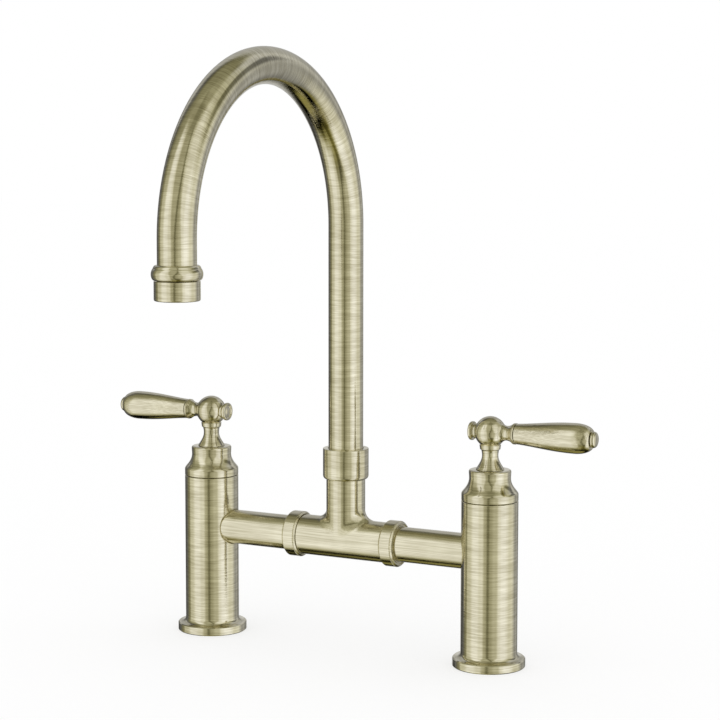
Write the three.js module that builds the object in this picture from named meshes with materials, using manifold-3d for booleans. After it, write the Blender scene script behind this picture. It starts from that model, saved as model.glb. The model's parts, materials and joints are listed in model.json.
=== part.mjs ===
/**
 * Two-handle bridge kitchen faucet with a swivelling gooseneck spout.
 *
 * Millimetres, +Z up. Two pillars stand on the deck, the plane z = 0. A bridge along X joins them at a
 * tee, and the spout rises from the tee and arches forward, towards -Y. Every outline below is a list of
 * (radius, height) points turned about its own axis, counter-clockwise, so that faces point outwards.
 */
import * as THREE from 'three';
import { mergeVertices } from 'three/addons/utils/BufferGeometryUtils.js';
import Module from 'manifold-3d';

const wasm = await Module();
wasm.setup();

// ---------------------------------------------------------------- driving dimensions

// Layout
const pillarSpacing = 200; // between the two pillar axes
const bridgeHeight = 70; // bridge axis above the deck
const tubeRadius = 11; // outside of the bridge legs and of the spout
const tubeWall = 1.5;
const archRadius = 97; // centreline of the spout's half circle
const archRise = 199; // centre of the half circle above the bridge axis
const outletDrop = 18.7; // straight end of the spout below that centre

// Clearances
const seatGap = 0.3; // along the axis, between pieces that rest on each other
const slipGap = 0.3; // around the axis, between a piece and what it fits in

// Pillar: foot, barrel and waterway, cast in one
const footRadius = 22.5;
const footRim = 5; // height of the foot's upright edge
const footBevel = 0.6;
const footFlare = 3.8; // height of the hollow sweep from the rim to the barrel
const barrelRadius = 17.5;
const barrelRise = 33; // top of the barrel above the bridge axis
const collarWall = 3.5; // barrel wall round the bonnet's spigot
const chamberWall = 5.5; // barrel wall round the valve
const valveBayHeight = 15; // from the valve's ledge to the top of the barrel
const seatClearance = 0.7; // from the side port down to the valve seat
const socketRadius = 10.2; // inlet socket in the underside
const socketDepth = 18;
const inletWasherThickness = 2;
const gasketWidth = 4; // sealing ring under the foot
const gasketDepth = 1.5; // its groove
const gasketInset = 2.5; // from the groove to the foot's edge

// Bonnet: the turned cover that screws down on the valve
const bonnetBand = 4; // upright band that continues the barrel
const bonnetOgee = 10; // height of the S-shaped shoulder
const bonnetWaistInset = 4.7; // from the barrel's surface in to the waist
const bonnetCap = 5; // from the waist to the top
const bonnetCapFlare = 0.2;
const bonnetEdge = 1; // rounding of the top edge
const bonnetShell = 3.2; // wall at the waist
const bonnetRoof = 6; // solid part round the valve's neck

// Quarter-turn ceramic valve
const waterwayWidth = 2.8; // free ring between the valve and the chamber
const valveWall = 1.7;
const valveFoot = 1; // from the seat up to the valve's rim
const sealThickness = 2; // rubber ring under the fixed disc
const sealWidth = 1.7;
const discThickness = 2.5;
const driveThickness = 3; // stem's foot, which turns the upper disc
const driveKeyWidth = 2.4;
const driveKeyDepth = 1;
const portInnerRadius = 2; // the sector ports in the discs
const portMargin = 1.5; // from a port to the disc's rim
const portAngle = 80; // degrees
const landHeight = 5.5; // thicker ring of the valve under its ledge
const landGap = 0.5;
const ringGrooveWidth = 2;
const ringGrooveDepth = 1.6;
const valveFlange = 3;
const wrenchRise = 4.7; // round body above the flange
const wrenchClearance = 1; // around that body, inside the bonnet
const neckRadius = 6.5;
const neckDrop = 2.8; // from the bonnet's top down to the valve's neck
const stemRadius = 4;
const stemTipRadius = 3; // upper end, inside the hub
const stemRingHeight = 12; // stem's seal above the valve flange

// Handle hub
const hubFootRadius = 8.5;
const hubFootHeight = 2;
const hubSweep = 6.4; // height of the sweep from the foot in to the waist
const hubWaistRadius = 5.1;
const hubFlare = 4.6; // height of the sweep from the waist out to the collar
const hubCollarRadius = 6.55;
const hubCollarHeight = 2.4;
const ballRadius = 9.7;
const ballOverlap = 0.2; // the ball starts this far inside the collar

// Lever, measured along its own axis from the middle of the ball
const shankRadius = 2.6;
const leverRootRadius = 5;
const leverRingAt = 14.6;
const leverRingRadius = 6.85;
const leverRingLength = 2.8;
const leverRingEdge = 0.5;
const gripStartRadius = 6.3;
const gripBellyRadius = 9.25;
const gripBellyAt = 38; // from the start of the grip
const gripLength = 46.6;
const gripEndRadius = 6.1;
const gripStudLength = 8;
const finialRingRadius = 4.9;
const finialRingLength = 1.3;
const finialNeckRadius = 3.9;
const finialButtonRadius = 4.5;
const finialLength = 5.4;
const finialStudRadius = 1.8;
const finialStudLength = 6;

// Knob on the far side of the ball, head of the screw that holds the hub
const knobRootRadius = 4.3;
const knobNeckRadius = 3.8;
const knobRadius = 6;
const knobLength = 3.6;
const knobRim = 1.2;
const knobDome = 0.5;

// Bridge union on each side of the tee
const flangeLedge = 1.6; // step from a tube out to its flange and to the tee
const unionWall = 1.6; // wall of the union nut over the tee
const unionInset = 30.3; // from the spout axis to the nut
const unionThread = 3.4; // length of the tee inside the nut
const unionWasher = 1.5;
const unionFlange = 1.5;
const unionLip = 1.5;
const unionChamfer = 0.8;

// Tee and spout joint
const teeFillet = 8; // rolled fillet between the run and the riser
const riserRise = 52.2; // top of the riser above the bridge axis
const riserWall = 2.2; // round the spigot
const nutSkirt = 13.5; // nut below the riser's top
const nutLip = 2.2;
const nutTaper = 2.3; // rounded lower corner of the nut
const nutEdge = 0.5;
const slipWasher = 0.8;
const spigotFlange = 2;
const spigotLength = 24; // in the riser
const spigotStub = 10; // in the spout tube
const spigotWall = 2.5;
const oRingRadius = 0.8;
const oRingSqueeze = 0.15;
const oRingPositions = [5, 13]; // above the spigot's lower end

// Outlet
const outletRingRadius = 12.65;
const outletRingHeight = 3;
const outletBeadRadius = 14.4;
const outletBeadHeight = 6;
const outletCollarLift = 5.2; // collar's top above the tube's end
const outletLedge = 1.2;
const housingRadius = 12.9;
const housingLength = 10.9;
const housingBevel = 0.6;
const housingSpigot = 2.3;
const housingSpigotRadius = 10.9;
const housingSpigotWall = 1;
const housingLip = 1.5;
const housingLipWidth = 0.8;
const aeratorWasher = 2.1;
const aeratorWasherWidth = 2;
const streamHoleRadius = 1.9;
const streamHoleCount = 6;
const streamCircleRadius = 5.4;

// Facets round a full turn, by the size of what is turned
const largeSides = 20;
const smallSides = 16;
const tinySides = 12;
const archSteps = 14; // facets along the spout's half circle
const filletSteps = 4; // facets across the tee's fillet
const portSteps = 3; // facets along each arc of a disc's port
const holeSides = 8; // facets round a stream hole

// ---------------------------------------------------------------- sizes that follow

const tubeBore = tubeRadius - tubeWall;
const tubePocket = tubeRadius + slipGap; // every hole that a tube goes into

const barrelHeight = bridgeHeight + barrelRise;
const bonnetBore = barrelRadius - collarWall;
const chamberRadius = barrelRadius - chamberWall;
const valveLedge = barrelHeight - valveBayHeight;
const valveSeat = bridgeHeight - tubePocket - seatClearance;
const legSeat = Math.sqrt(barrelRadius ** 2 - tubePocket ** 2) - slipGap; // where a leg ends in the barrel
const gasketOuter = footRadius - gasketInset;
const gasketInner = gasketOuter - gasketWidth;

const bonnetWaist = barrelRadius - bonnetWaistInset;
const bonnetBottom = barrelHeight + seatGap;
const bonnetTop = bonnetBottom + bonnetBand + bonnetOgee + bonnetCap;
const bonnetCavity = bonnetWaist - bonnetShell;
const wrenchRadius = bonnetCavity - wrenchClearance;

const valveRadius = chamberRadius - waterwayWidth;
const discPocket = valveRadius - valveWall;
const discRadius = discPocket - slipGap;
const passageRadius = discRadius - sealWidth; // rising waterway below the valve
const flangeBottom = valveLedge + seatGap;
const flangeTop = flangeBottom + valveFlange;
const fixedDiscBottom = valveSeat + sealThickness + 2 * seatGap;
const movingDiscBottom = fixedDiscBottom + discThickness + seatGap;
const driveBottom = movingDiscBottom + discThickness + seatGap;
const discPocketTop = driveBottom + driveThickness + seatGap;
const stemBore = stemRadius + slipGap;

const hubBottom = bonnetTop + seatGap;
const hubWaistHeight = hubBottom + hubFootHeight + hubSweep;
const hubCollarTop = hubWaistHeight + hubFlare + hubCollarHeight;
const ballStartRadius = hubCollarRadius - ballOverlap;
const ballHeight = hubCollarTop + Math.sqrt(ballRadius ** 2 - ballStartRadius ** 2);
const ballPocket = ballRadius + slipGap; // hollow seat of what screws into the ball
const stemTop = ballHeight + shankRadius + slipGap;
const shankTip = stemTipRadius + slipGap;
const shankBore = shankRadius + slipGap;

const leverNeckEnd = leverRingAt + leverRingLength;
const gripStart = leverNeckEnd + seatGap;
const gripEnd = gripStart + gripLength;
const finialStart = gripEnd + seatGap;

const teeRadius = tubeRadius + flangeLedge;
const unionBore = teeRadius + slipGap;
const unionRadius = unionBore + unionWall;
const teeHalfLength = unionInset + unionThread;
const legFlangeEnd = pillarSpacing / 2 - teeHalfLength - unionWasher - 2 * seatGap; // from the pillar's axis
const unionEnd = pillarSpacing / 2 - unionInset;
const unionStart = legFlangeEnd - unionFlange - seatGap - unionLip;

const riserTop = bridgeHeight + riserRise;
const riserBore = teeRadius - riserWall;
const spigotRadius = riserBore - slipGap;
const spigotBottom = riserTop - spigotLength;
const spigotBore = spigotRadius - spigotWall;
const spigotFlangeTop = riserTop + seatGap + spigotFlange;
const slipWasherTop = spigotFlangeTop + seatGap + slipWasher;
const nutTop = slipWasherTop + seatGap + nutLip;
const nutBottom = riserTop - nutSkirt;
const oRingCentre = spigotRadius + slipGap / 2 - oRingRadius;

const spoutStart = spigotFlangeTop + seatGap;
const archHeight = bridgeHeight + archRise;
const spoutEnd = archHeight - outletDrop;
const spoutReach = 2 * archRadius;

const collarTop = spoutEnd + outletCollarLift;
const collarBottom = collarTop - outletRingHeight - outletBeadHeight;
const ledgeTop = spoutEnd - seatGap;
const ledgeBottom = ledgeTop - outletLedge;
const housingTop = collarBottom - seatGap;
const housingBottom = housingTop - housingLength;
const housingBore = housingSpigotRadius - housingSpigotWall;
const insertRadius = housingBore - slipGap;
const insertBottom = housingBottom + housingLip + seatGap;
const aeratorWasherTop = housingTop + housingSpigot;
const insertTop = aeratorWasherTop - aeratorWasher - seatGap;

// The origin lies on the deck, under the middle of the whole faucet.
const frontReach = spoutReach + Math.max(outletBeadRadius, housingRadius);
const deckCentre = (frontReach - footRadius) / 2;

// ---------------------------------------------------------------- materials

const brushedBrass = new THREE.MeshStandardMaterial({ color: 0xb9b28c, roughness: 0.34, metalness: 1 });
const rawBrass = new THREE.MeshStandardMaterial({ color: 0xb08d4c, roughness: 0.5, metalness: 1 });
const blackRubber = new THREE.MeshStandardMaterial({ color: 0x1c1c1c, roughness: 0.8, metalness: 0 });
const whiteCeramic = new THREE.MeshStandardMaterial({ color: 0xe9e7e0, roughness: 0.2, metalness: 0 });
const whiteNylon = new THREE.MeshStandardMaterial({ color: 0xd9d8d2, roughness: 0.5, metalness: 0 });

// ---------------------------------------------------------------- solids

/** The geometry as a closed solid: shared corners merged, collapsed triangles left out. */
function toManifold(geometry) {
  const bare = geometry.clone();
  bare.deleteAttribute('normal');
  bare.deleteAttribute('uv');
  const merged = mergeVertices(bare);
  const corners = merged.index.array;
  const triangles = [];
  for (let i = 0; i < corners.length; i += 3) {
    const [a, b, c] = [corners[i], corners[i + 1], corners[i + 2]];
    if (a !== b && b !== c && c !== a) triangles.push(a, b, c);
  }
  const vertProperties = new Float32Array(merged.attributes.position.array);
  const triVerts = new Uint32Array(triangles);
  return new wasm.Manifold(new wasm.Mesh({ numProp: 3, vertProperties, triVerts }));
}

function toGeometry(solid) {
  const { vertProperties, triVerts } = solid.getMesh();
  const geometry = new THREE.BufferGeometry();
  geometry.setAttribute('position', new THREE.BufferAttribute(vertProperties, 3));
  geometry.setIndex(new THREE.BufferAttribute(triVerts, 1));
  geometry.computeVertexNormals();
  return geometry;
}

function join(first, ...others) {
  return toGeometry(others.reduce((sum, other) => sum.add(toManifold(other)), toManifold(first)));
}

function cut(first, ...tools) {
  return toGeometry(tools.reduce((rest, tool) => rest.subtract(toManifold(tool)), toManifold(first)));
}

/** The outline turned about Z. It either closes on itself or starts and ends on the axis. */
function revolve(outline, sides, curveSteps = 4) {
  const points = outline.getPoints(curveSteps);
  if (points[0].x > 0) points.push(points[0].clone());
  return new THREE.LatheGeometry(points, sides).rotateX(Math.PI / 2);
}

/** A plain ring, or a rod where the inner radius is zero. */
function ring(inner, outer, bottom, top, sides) {
  const outline = new THREE.Path()
    .moveTo(inner, bottom)
    .lineTo(outer, bottom)
    .lineTo(outer, top)
    .lineTo(inner, top);
  return revolve(outline, sides);
}

/** Corners along an arc about a centre, both ends included. */
function arcCorners(radius, from, to, steps, centre = new THREE.Vector2()) {
  return Array.from({ length: steps + 1 }, (_, i) => {
    const angle = from + ((to - from) * i) / steps;
    return new THREE.Vector2(Math.cos(angle), Math.sin(angle)).multiplyScalar(radius).add(centre);
  });
}

/** Corners of a whole circle, each once. */
function circleCorners(radius, sides, centre) {
  return arcCorners(radius, 0, 2 * Math.PI, sides, centre).slice(1);
}

/** The geometry with its own Z axis laid along +X, at the bridge's height. */
function alongBridge(geometry) {
  return geometry.rotateY(Math.PI / 2).translate(0, 0, bridgeHeight);
}

function piece(name, geometry, material) {
  const mesh = new THREE.Mesh(join(geometry), material);
  mesh.name = name;
  return mesh;
}

// ---------------------------------------------------------------- pillar

/** Foot and barrel, with the inlet socket, waterway, valve chamber and the side port towards +X. */
function pillarBody() {
  const outline = new THREE.Path()
    .moveTo(socketRadius, 0)
    .lineTo(gasketInner, 0)
    .lineTo(gasketInner, gasketDepth)
    .lineTo(gasketOuter, gasketDepth)
    .lineTo(gasketOuter, 0)
    .lineTo(footRadius - footBevel, 0)
    .lineTo(footRadius, footBevel)
    .lineTo(footRadius, footRim - footBevel)
    .lineTo(footRadius - footBevel, footRim)
    .quadraticCurveTo(barrelRadius, footRim, barrelRadius, footRim + footFlare)
    .lineTo(barrelRadius, barrelHeight)
    .lineTo(bonnetBore, barrelHeight)
    .lineTo(bonnetBore, valveLedge)
    .lineTo(chamberRadius, valveLedge)
    .lineTo(chamberRadius, valveSeat)
    .lineTo(passageRadius, valveSeat)
    .lineTo(passageRadius, socketDepth)
    .lineTo(socketRadius, socketDepth);
  const legPocket = alongBridge(ring(0, tubePocket, legSeat - seatGap, barrelRadius + 1, largeSides));
  const sidePort = alongBridge(ring(0, tubeBore, 0, legSeat, largeSides));
  return cut(revolve(outline, largeSides, 2), legPocket, sidePort);
}

function footGasket() {
  return ring(gasketInner + slipGap, gasketOuter - slipGap, 0, gasketDepth - seatGap, largeSides);
}

function inletWasher() {
  const top = socketDepth - seatGap;
  return ring(passageRadius, socketRadius - slipGap, top - inletWasherThickness, top, tinySides);
}

/** Cover whose band continues the barrel, then draws in through an S to a waist under a flat cap. */
function bonnet() {
  const ogeeBottom = bonnetBottom + bonnetBand;
  const waistHeight = ogeeBottom + bonnetOgee;
  const capRadius = bonnetWaist + bonnetCapFlare;
  const outline = new THREE.Path()
    .moveTo(bonnetCavity, flangeTop + seatGap)
    .lineTo(bonnetBore - slipGap, flangeTop + seatGap)
    .lineTo(bonnetBore - slipGap, bonnetBottom)
    .lineTo(barrelRadius, bonnetBottom)
    .lineTo(barrelRadius, ogeeBottom)
    .bezierCurveTo(
      barrelRadius, ogeeBottom + 0.19 * bonnetOgee,
      bonnetWaist, ogeeBottom + 0.42 * bonnetOgee,
      bonnetWaist, waistHeight,
    )
    .lineTo(capRadius, bonnetTop - bonnetEdge)
    .lineTo(capRadius - 0.3 * bonnetEdge, bonnetTop - 0.3 * bonnetEdge)
    .lineTo(capRadius - bonnetEdge, bonnetTop)
    .lineTo(neckRadius + slipGap, bonnetTop)
    .lineTo(neckRadius + slipGap, bonnetTop - bonnetRoof)
    .lineTo(bonnetCavity, bonnetTop - bonnetRoof);
  return revolve(outline, largeSides);
}

// ---------------------------------------------------------------- ceramic valve

/** Headwork: disc pocket with two side windows, sealing land, flange, and the neck that guides the stem. */
function valveBody() {
  const landRadius = chamberRadius - landGap;
  const landBottom = valveLedge - landHeight;
  const grooveBottom = valveLedge - (landHeight + ringGrooveWidth) / 2;
  const wrenchTop = flangeTop + wrenchRise;
  const neckTop = bonnetTop - neckDrop;
  const outline = new THREE.Path()
    .moveTo(discPocket, valveSeat + valveFoot)
    .lineTo(valveRadius, valveSeat + valveFoot)
    .lineTo(valveRadius, landBottom)
    .lineTo(landRadius, landBottom)
    .lineTo(landRadius, grooveBottom)
    .lineTo(landRadius - ringGrooveDepth, grooveBottom)
    .lineTo(landRadius - ringGrooveDepth, grooveBottom + ringGrooveWidth)
    .lineTo(landRadius, grooveBottom + ringGrooveWidth)
    .lineTo(landRadius, flangeBottom)
    .lineTo(bonnetBore - slipGap, flangeBottom)
    .lineTo(bonnetBore - slipGap, flangeTop)
    .lineTo(wrenchRadius, flangeTop)
    .lineTo(wrenchRadius, wrenchTop)
    .lineTo(neckRadius, wrenchTop)
    .lineTo(neckRadius, neckTop)
    .lineTo(stemBore, neckTop)
    .lineTo(stemBore, discPocketTop)
    .lineTo(discPocket, discPocketTop);
  const windowBottom = movingDiscBottom + discThickness / 2;
  const windowHeight = discPocketTop - windowBottom - 0.5;
  const windows = new THREE.BoxGeometry(2 * valveRadius + 2, discPocket, windowHeight);
  windows.translate(0, 0, windowBottom + windowHeight / 2);
  return cut(revolve(outline, tinySides), windows);
}

/** Rubber ring in the groove of the valve's land. */
function valveSealRing() {
  const landRadius = chamberRadius - landGap;
  const bottom = valveLedge - (landHeight + ringGrooveWidth) / 2 + seatGap / 2;
  const inner = landRadius - ringGrooveDepth + slipGap;
  return ring(inner, chamberRadius - slipGap, bottom, bottom + ringGrooveWidth - seatGap, tinySides);
}

/** Rubber ring that the fixed disc presses on the seat in the pillar. */
function seatSeal() {
  const bottom = valveSeat + seatGap;
  return ring(passageRadius, discRadius, bottom, bottom + sealThickness, tinySides);
}

/** Ceramic disc with two sector ports, one centred on +X and one on -X. */
function portedDisc(bottom) {
  const disc = new THREE.Shape(circleCorners(discRadius, tinySides));
  const halfAngle = THREE.MathUtils.degToRad(portAngle / 2);
  for (const middle of [0, Math.PI]) {
    const outerArc = arcCorners(discRadius - portMargin, middle - halfAngle, middle + halfAngle, portSteps);
    const innerArc = arcCorners(portInnerRadius, middle + halfAngle, middle - halfAngle, portSteps);
    disc.holes.push(new THREE.Path([...outerArc, ...innerArc]));
  }
  const options = { depth: discThickness, bevelEnabled: false };
  return new THREE.ExtrudeGeometry(disc, options).translate(0, 0, bottom);
}

/** Lower disc, keyed to the headwork, with its ports across the bridge. */
function fixedDisc() {
  return portedDisc(fixedDiscBottom).rotateZ(Math.PI / 2);
}

/** Upper disc. Its ports lie a quarter turn from the lower ones while the lever points outwards. */
function movingDisc() {
  const slotDepth = driveKeyDepth + seatGap;
  const slot = new THREE.BoxGeometry(driveKeyWidth + 2 * slipGap, 2 * discRadius + 2, 2 * slotDepth);
  slot.translate(0, 0, movingDiscBottom + discThickness);
  return cut(portedDisc(movingDiscBottom), slot);
}

/** Stem: key and foot on the upper disc, a grooved shaft, and a thinner tip in the hub. */
function stem() {
  const driveTop = driveBottom + driveThickness;
  const grooveBottom = flangeTop + stemRingHeight;
  const grooveFloor = stemRadius - ringGrooveDepth;
  const outline = new THREE.Path()
    .moveTo(0, driveBottom)
    .lineTo(discRadius, driveBottom)
    .lineTo(discRadius, driveTop)
    .lineTo(stemRadius, driveTop)
    .lineTo(stemRadius, grooveBottom)
    .lineTo(grooveFloor, grooveBottom)
    .lineTo(grooveFloor, grooveBottom + ringGrooveWidth)
    .lineTo(stemRadius, grooveBottom + ringGrooveWidth)
    .lineTo(stemRadius, bonnetTop)
    .lineTo(stemTipRadius, bonnetTop)
    .lineTo(stemTipRadius, stemTop)
    .lineTo(0, stemTop);
  const keyTop = driveBottom + driveThickness / 2;
  const keyBottom = driveBottom - driveKeyDepth;
  const key = new THREE.BoxGeometry(driveKeyWidth, 1.6 * discRadius, keyTop - keyBottom);
  key.translate(0, 0, (keyTop + keyBottom) / 2);
  return join(revolve(outline, tinySides), key);
}

/** Rubber ring in the stem's groove. */
function stemSealRing() {
  const bottom = flangeTop + stemRingHeight + seatGap / 2;
  const inner = stemRadius - ringGrooveDepth + slipGap;
  return ring(inner, stemRadius + slipGap / 3, bottom, bottom + ringGrooveWidth - seatGap, tinySides);
}

// ---------------------------------------------------------------- handle

/** Hub: foot, waisted neck, collar and ball, bored for the stem and for the two shanks. */
function handleHub() {
  const sweepBottom = hubBottom + hubFootHeight;
  const collarBottomHeight = hubCollarTop - hubCollarHeight;
  const ballStart = Math.atan2(hubCollarTop - ballHeight, ballStartRadius);
  const outline = new THREE.Path()
    .moveTo(stemTipRadius + slipGap, hubBottom)
    .lineTo(hubFootRadius, hubBottom)
    .lineTo(hubFootRadius, sweepBottom)
    .quadraticCurveTo(hubWaistRadius, sweepBottom + 0.4 * hubSweep, hubWaistRadius, hubWaistHeight)
    .quadraticCurveTo(hubWaistRadius, hubWaistHeight + 0.45 * hubFlare, hubCollarRadius, collarBottomHeight)
    .lineTo(hubCollarRadius, hubCollarTop)
    .absarc(0, ballHeight, ballRadius, ballStart, Math.PI / 2, false)
    .lineTo(0, stemTop + seatGap)
    .lineTo(stemTipRadius + slipGap, stemTop + seatGap);
  const bores = ring(0, shankBore, -2 * ballRadius, 2 * ballRadius, tinySides);
  return cut(revolve(outline, smallSides, 3), bores.rotateY(Math.PI / 2).translate(0, 0, ballHeight));
}

/** Angle on the hollow seat over the ball at which it has the given radius from the lever's axis. */
function seatAngle(radius) {
  return Math.acos(radius / ballPocket);
}

/** Lever's root: a shank in the ball, a flared neck seated on the ball, a ring, and a stud for the grip. */
function leverNeck() {
  const outline = new THREE.Path()
    .moveTo(0, shankTip)
    .lineTo(shankRadius, shankTip)
    .absarc(0, 0, ballPocket, seatAngle(shankRadius), seatAngle(leverRootRadius), true)
    .quadraticCurveTo(leverRootRadius, leverRingAt - 2, leverRingRadius - leverRingEdge, leverRingAt - 0.4)
    .lineTo(leverRingRadius, leverRingAt + 0.3)
    .lineTo(leverRingRadius, leverNeckEnd - 2 * leverRingEdge)
    .lineTo(leverRingRadius - leverRingEdge, leverNeckEnd)
    .lineTo(shankRadius, leverNeckEnd)
    .lineTo(shankRadius, gripStart + gripStudLength)
    .lineTo(0, gripStart + gripStudLength);
  return revolve(outline, tinySides, 2);
}

/** Grip: swells slowly to a belly near its end, then rounds in. */
function leverGrip() {
  const bellyAt = gripStart + gripBellyAt;
  const studPocket = gripStart + gripStudLength + seatGap;
  const finialPocket = gripEnd - finialStudLength - seatGap;
  const outline = new THREE.Path()
    .moveTo(shankBore, gripStart)
    .lineTo(gripStartRadius, gripStart)
    .bezierCurveTo(
      gripStartRadius + 0.6, gripStart + 0.3 * gripBellyAt,
      gripBellyRadius, bellyAt - 0.4 * gripBellyAt,
      gripBellyRadius, bellyAt,
    )
    .bezierCurveTo(
      gripBellyRadius, bellyAt + 0.4 * (gripEnd - bellyAt),
      gripEndRadius + 1.5, gripEnd - 0.6,
      gripEndRadius, gripEnd,
    )
    .lineTo(finialStudRadius + slipGap, gripEnd)
    .lineTo(finialStudRadius + slipGap, finialPocket)
    .lineTo(0, finialPocket)
    .lineTo(0, studPocket)
    .lineTo(shankBore, studPocket);
  return revolve(outline, smallSides, 3);
}

/** Finial: a stud in the grip, a thin ring, a neck and a round button. */
function leverFinial() {
  const ringEnd = finialStart + finialRingLength;
  const tip = finialStart + finialLength;
  const outline = new THREE.Path()
    .moveTo(0, gripEnd - finialStudLength)
    .lineTo(finialStudRadius, gripEnd - finialStudLength)
    .lineTo(finialStudRadius, finialStart)
    .lineTo(finialRingRadius, finialStart)
    .lineTo(finialRingRadius, ringEnd - 0.3)
    .lineTo(finialNeckRadius, ringEnd + 0.3)
    .lineTo(finialButtonRadius, ringEnd + 1.1)
    .bezierCurveTo(finialButtonRadius, tip - 0.9, 0.6 * finialButtonRadius, tip, 0, tip);
  return revolve(outline, tinySides);
}

/** Knob: the shank clamps the stem, and the head flares from the ball to a rimmed, domed disc. */
function hubKnob() {
  const root = ballPocket * Math.sin(seatAngle(knobRootRadius));
  const face = root + knobLength;
  const outline = new THREE.Path()
    .moveTo(0, shankTip)
    .lineTo(shankRadius, shankTip)
    .absarc(0, 0, ballPocket, seatAngle(shankRadius), seatAngle(knobRootRadius), true)
    .lineTo(knobRootRadius, root + 0.7)
    .lineTo(knobNeckRadius, root + 1)
    .lineTo(knobRadius - 0.4, face - knobRim - 0.4)
    .lineTo(knobRadius, face - knobRim)
    .lineTo(knobRadius, face - 0.4)
    .lineTo(knobRadius - 0.5, face)
    .lineTo(0, face + knobDome);
  return revolve(outline, tinySides, 1);
}

// ---------------------------------------------------------------- bridge

/** Tube from the barrel to its flange in the union nut. Built from the pillar's axis towards the tee. */
function bridgeLeg() {
  const flangeStart = legFlangeEnd - unionFlange;
  const outline = new THREE.Path()
    .moveTo(tubeBore, legSeat)
    .lineTo(tubeRadius, legSeat)
    .lineTo(tubeRadius, flangeStart)
    .lineTo(teeRadius, flangeStart)
    .lineTo(teeRadius, legFlangeEnd)
    .lineTo(tubeBore, legFlangeEnd);
  return alongBridge(revolve(outline, largeSides));
}

function unionWasherRing() {
  const start = legFlangeEnd + seatGap;
  return alongBridge(ring(tubeBore, teeRadius, start, start + unionWasher, largeSides));
}

/** Ring nut: its lip draws the leg's flange on to the tee. */
function unionNut() {
  const chamfered = unionRadius - unionChamfer;
  const outline = new THREE.Path()
    .moveTo(tubePocket, unionStart)
    .lineTo(chamfered, unionStart)
    .lineTo(unionRadius, unionStart + unionChamfer)
    .lineTo(unionRadius, unionEnd - unionChamfer)
    .lineTo(chamfered, unionEnd)
    .lineTo(unionBore, unionEnd)
    .lineTo(unionBore, unionStart + unionLip)
    .lineTo(tubePocket, unionStart + unionLip);
  return alongBridge(revolve(outline, largeSides));
}

/**
 * Half of the fillet between two equal pipes that cross at right angles, on the +X side.
 *
 * A ball of the fillet's radius rolls in the corner, touching both pipes. At the angle a round the riser
 * its centre is at distance R = pipe + fillet from both axes: (R cos a, R sin a, R cos a). It touches the
 * riser at (r cos a, r sin a, R cos a) and the run at (R cos a, r sin a, r cos a), and the fillet is the
 * arc between those two points. It narrows to nothing at the sides, where a is a right angle. Each section
 * is closed through a point inside both pipes.
 */
function filletHalf() {
  const reach = teeRadius + teeFillet;
  const sectionPoints = filletSteps + 2;
  const positions = [];
  const indices = [];
  const angleSteps = largeSides / 2;
  for (let i = 0; i <= angleSteps; i += 1) {
    const angle = (i / angleSteps - 0.5) * Math.PI;
    const sine = Math.sin(angle);
    const cosine = i === 0 || i === angleSteps ? 0 : Math.cos(angle);
    const centre = new THREE.Vector3(reach * cosine, reach * sine, reach * cosine);
    const onRiser = new THREE.Vector3(teeRadius * cosine, teeRadius * sine, reach * cosine).sub(centre);
    const onRun = new THREE.Vector3(reach * cosine, teeRadius * sine, teeRadius * cosine).sub(centre);
    const sweep = onRiser.angleTo(onRun);
    const axis = new THREE.Vector3().crossVectors(onRiser, onRun).normalize();
    for (let j = 0; j <= filletSteps; j += 1) {
      const spoke = onRiser.clone().applyAxisAngle(axis, (sweep * j) / filletSteps);
      positions.push(...spoke.add(centre).toArray());
    }
    positions.push(0.5 * teeRadius * cosine, 0.5 * teeRadius * sine, 0.5 * teeRadius * cosine);
  }
  for (let i = 0; i < angleSteps; i += 1) {
    for (let j = 0; j < sectionPoints; j += 1) {
      const near = i * sectionPoints;
      const far = near + sectionPoints;
      const next = (j + 1) % sectionPoints;
      indices.push(near + j, near + next, far + next, near + j, far + next, far + j);
    }
  }
  const geometry = new THREE.BufferGeometry();
  geometry.setAttribute('position', new THREE.Float32BufferAttribute(positions, 3));
  geometry.setIndex(indices);
  return geometry.translate(0, 0, bridgeHeight);
}

/** Tee casting: run and riser of one radius, blended by the rolled fillet and bored through. */
function teeBody() {
  const run = alongBridge(ring(0, teeRadius, -teeHalfLength, teeHalfLength, largeSides));
  const riser = ring(0, teeRadius, bridgeHeight, riserTop, largeSides);
  const outside = join(run, riser, filletHalf(), filletHalf().rotateZ(Math.PI));
  const runBore = alongBridge(ring(0, tubeBore, -teeHalfLength - 1, teeHalfLength + 1, largeSides));
  const throat = ring(0, spigotBore, bridgeHeight, riserTop, largeSides);
  const socket = ring(0, riserBore, spigotBottom - seatGap, riserTop + 1, largeSides);
  return cut(outside, runBore, throat, socket);
}

// ---------------------------------------------------------------- spout joint

/** Nut that holds the spout down: straight band, rounded lower corner, lip over the slip washer. */
function spoutNut() {
  const outline = new THREE.Path()
    .moveTo(unionBore, nutBottom)
    .lineTo(unionBore + 0.4, nutBottom)
    .quadraticCurveTo(unionRadius, nutBottom + 0.3 * nutTaper, unionRadius, nutBottom + nutTaper)
    .lineTo(unionRadius, nutTop - nutEdge)
    .lineTo(unionRadius - nutEdge, nutTop)
    .lineTo(tubePocket, nutTop)
    .lineTo(tubePocket, nutTop - nutLip)
    .lineTo(unionBore, nutTop - nutLip);
  return revolve(outline, largeSides, 2);
}

function slipWasherRing() {
  return ring(tubePocket, teeRadius, slipWasherTop - slipWasher, slipWasherTop, largeSides);
}

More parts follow.
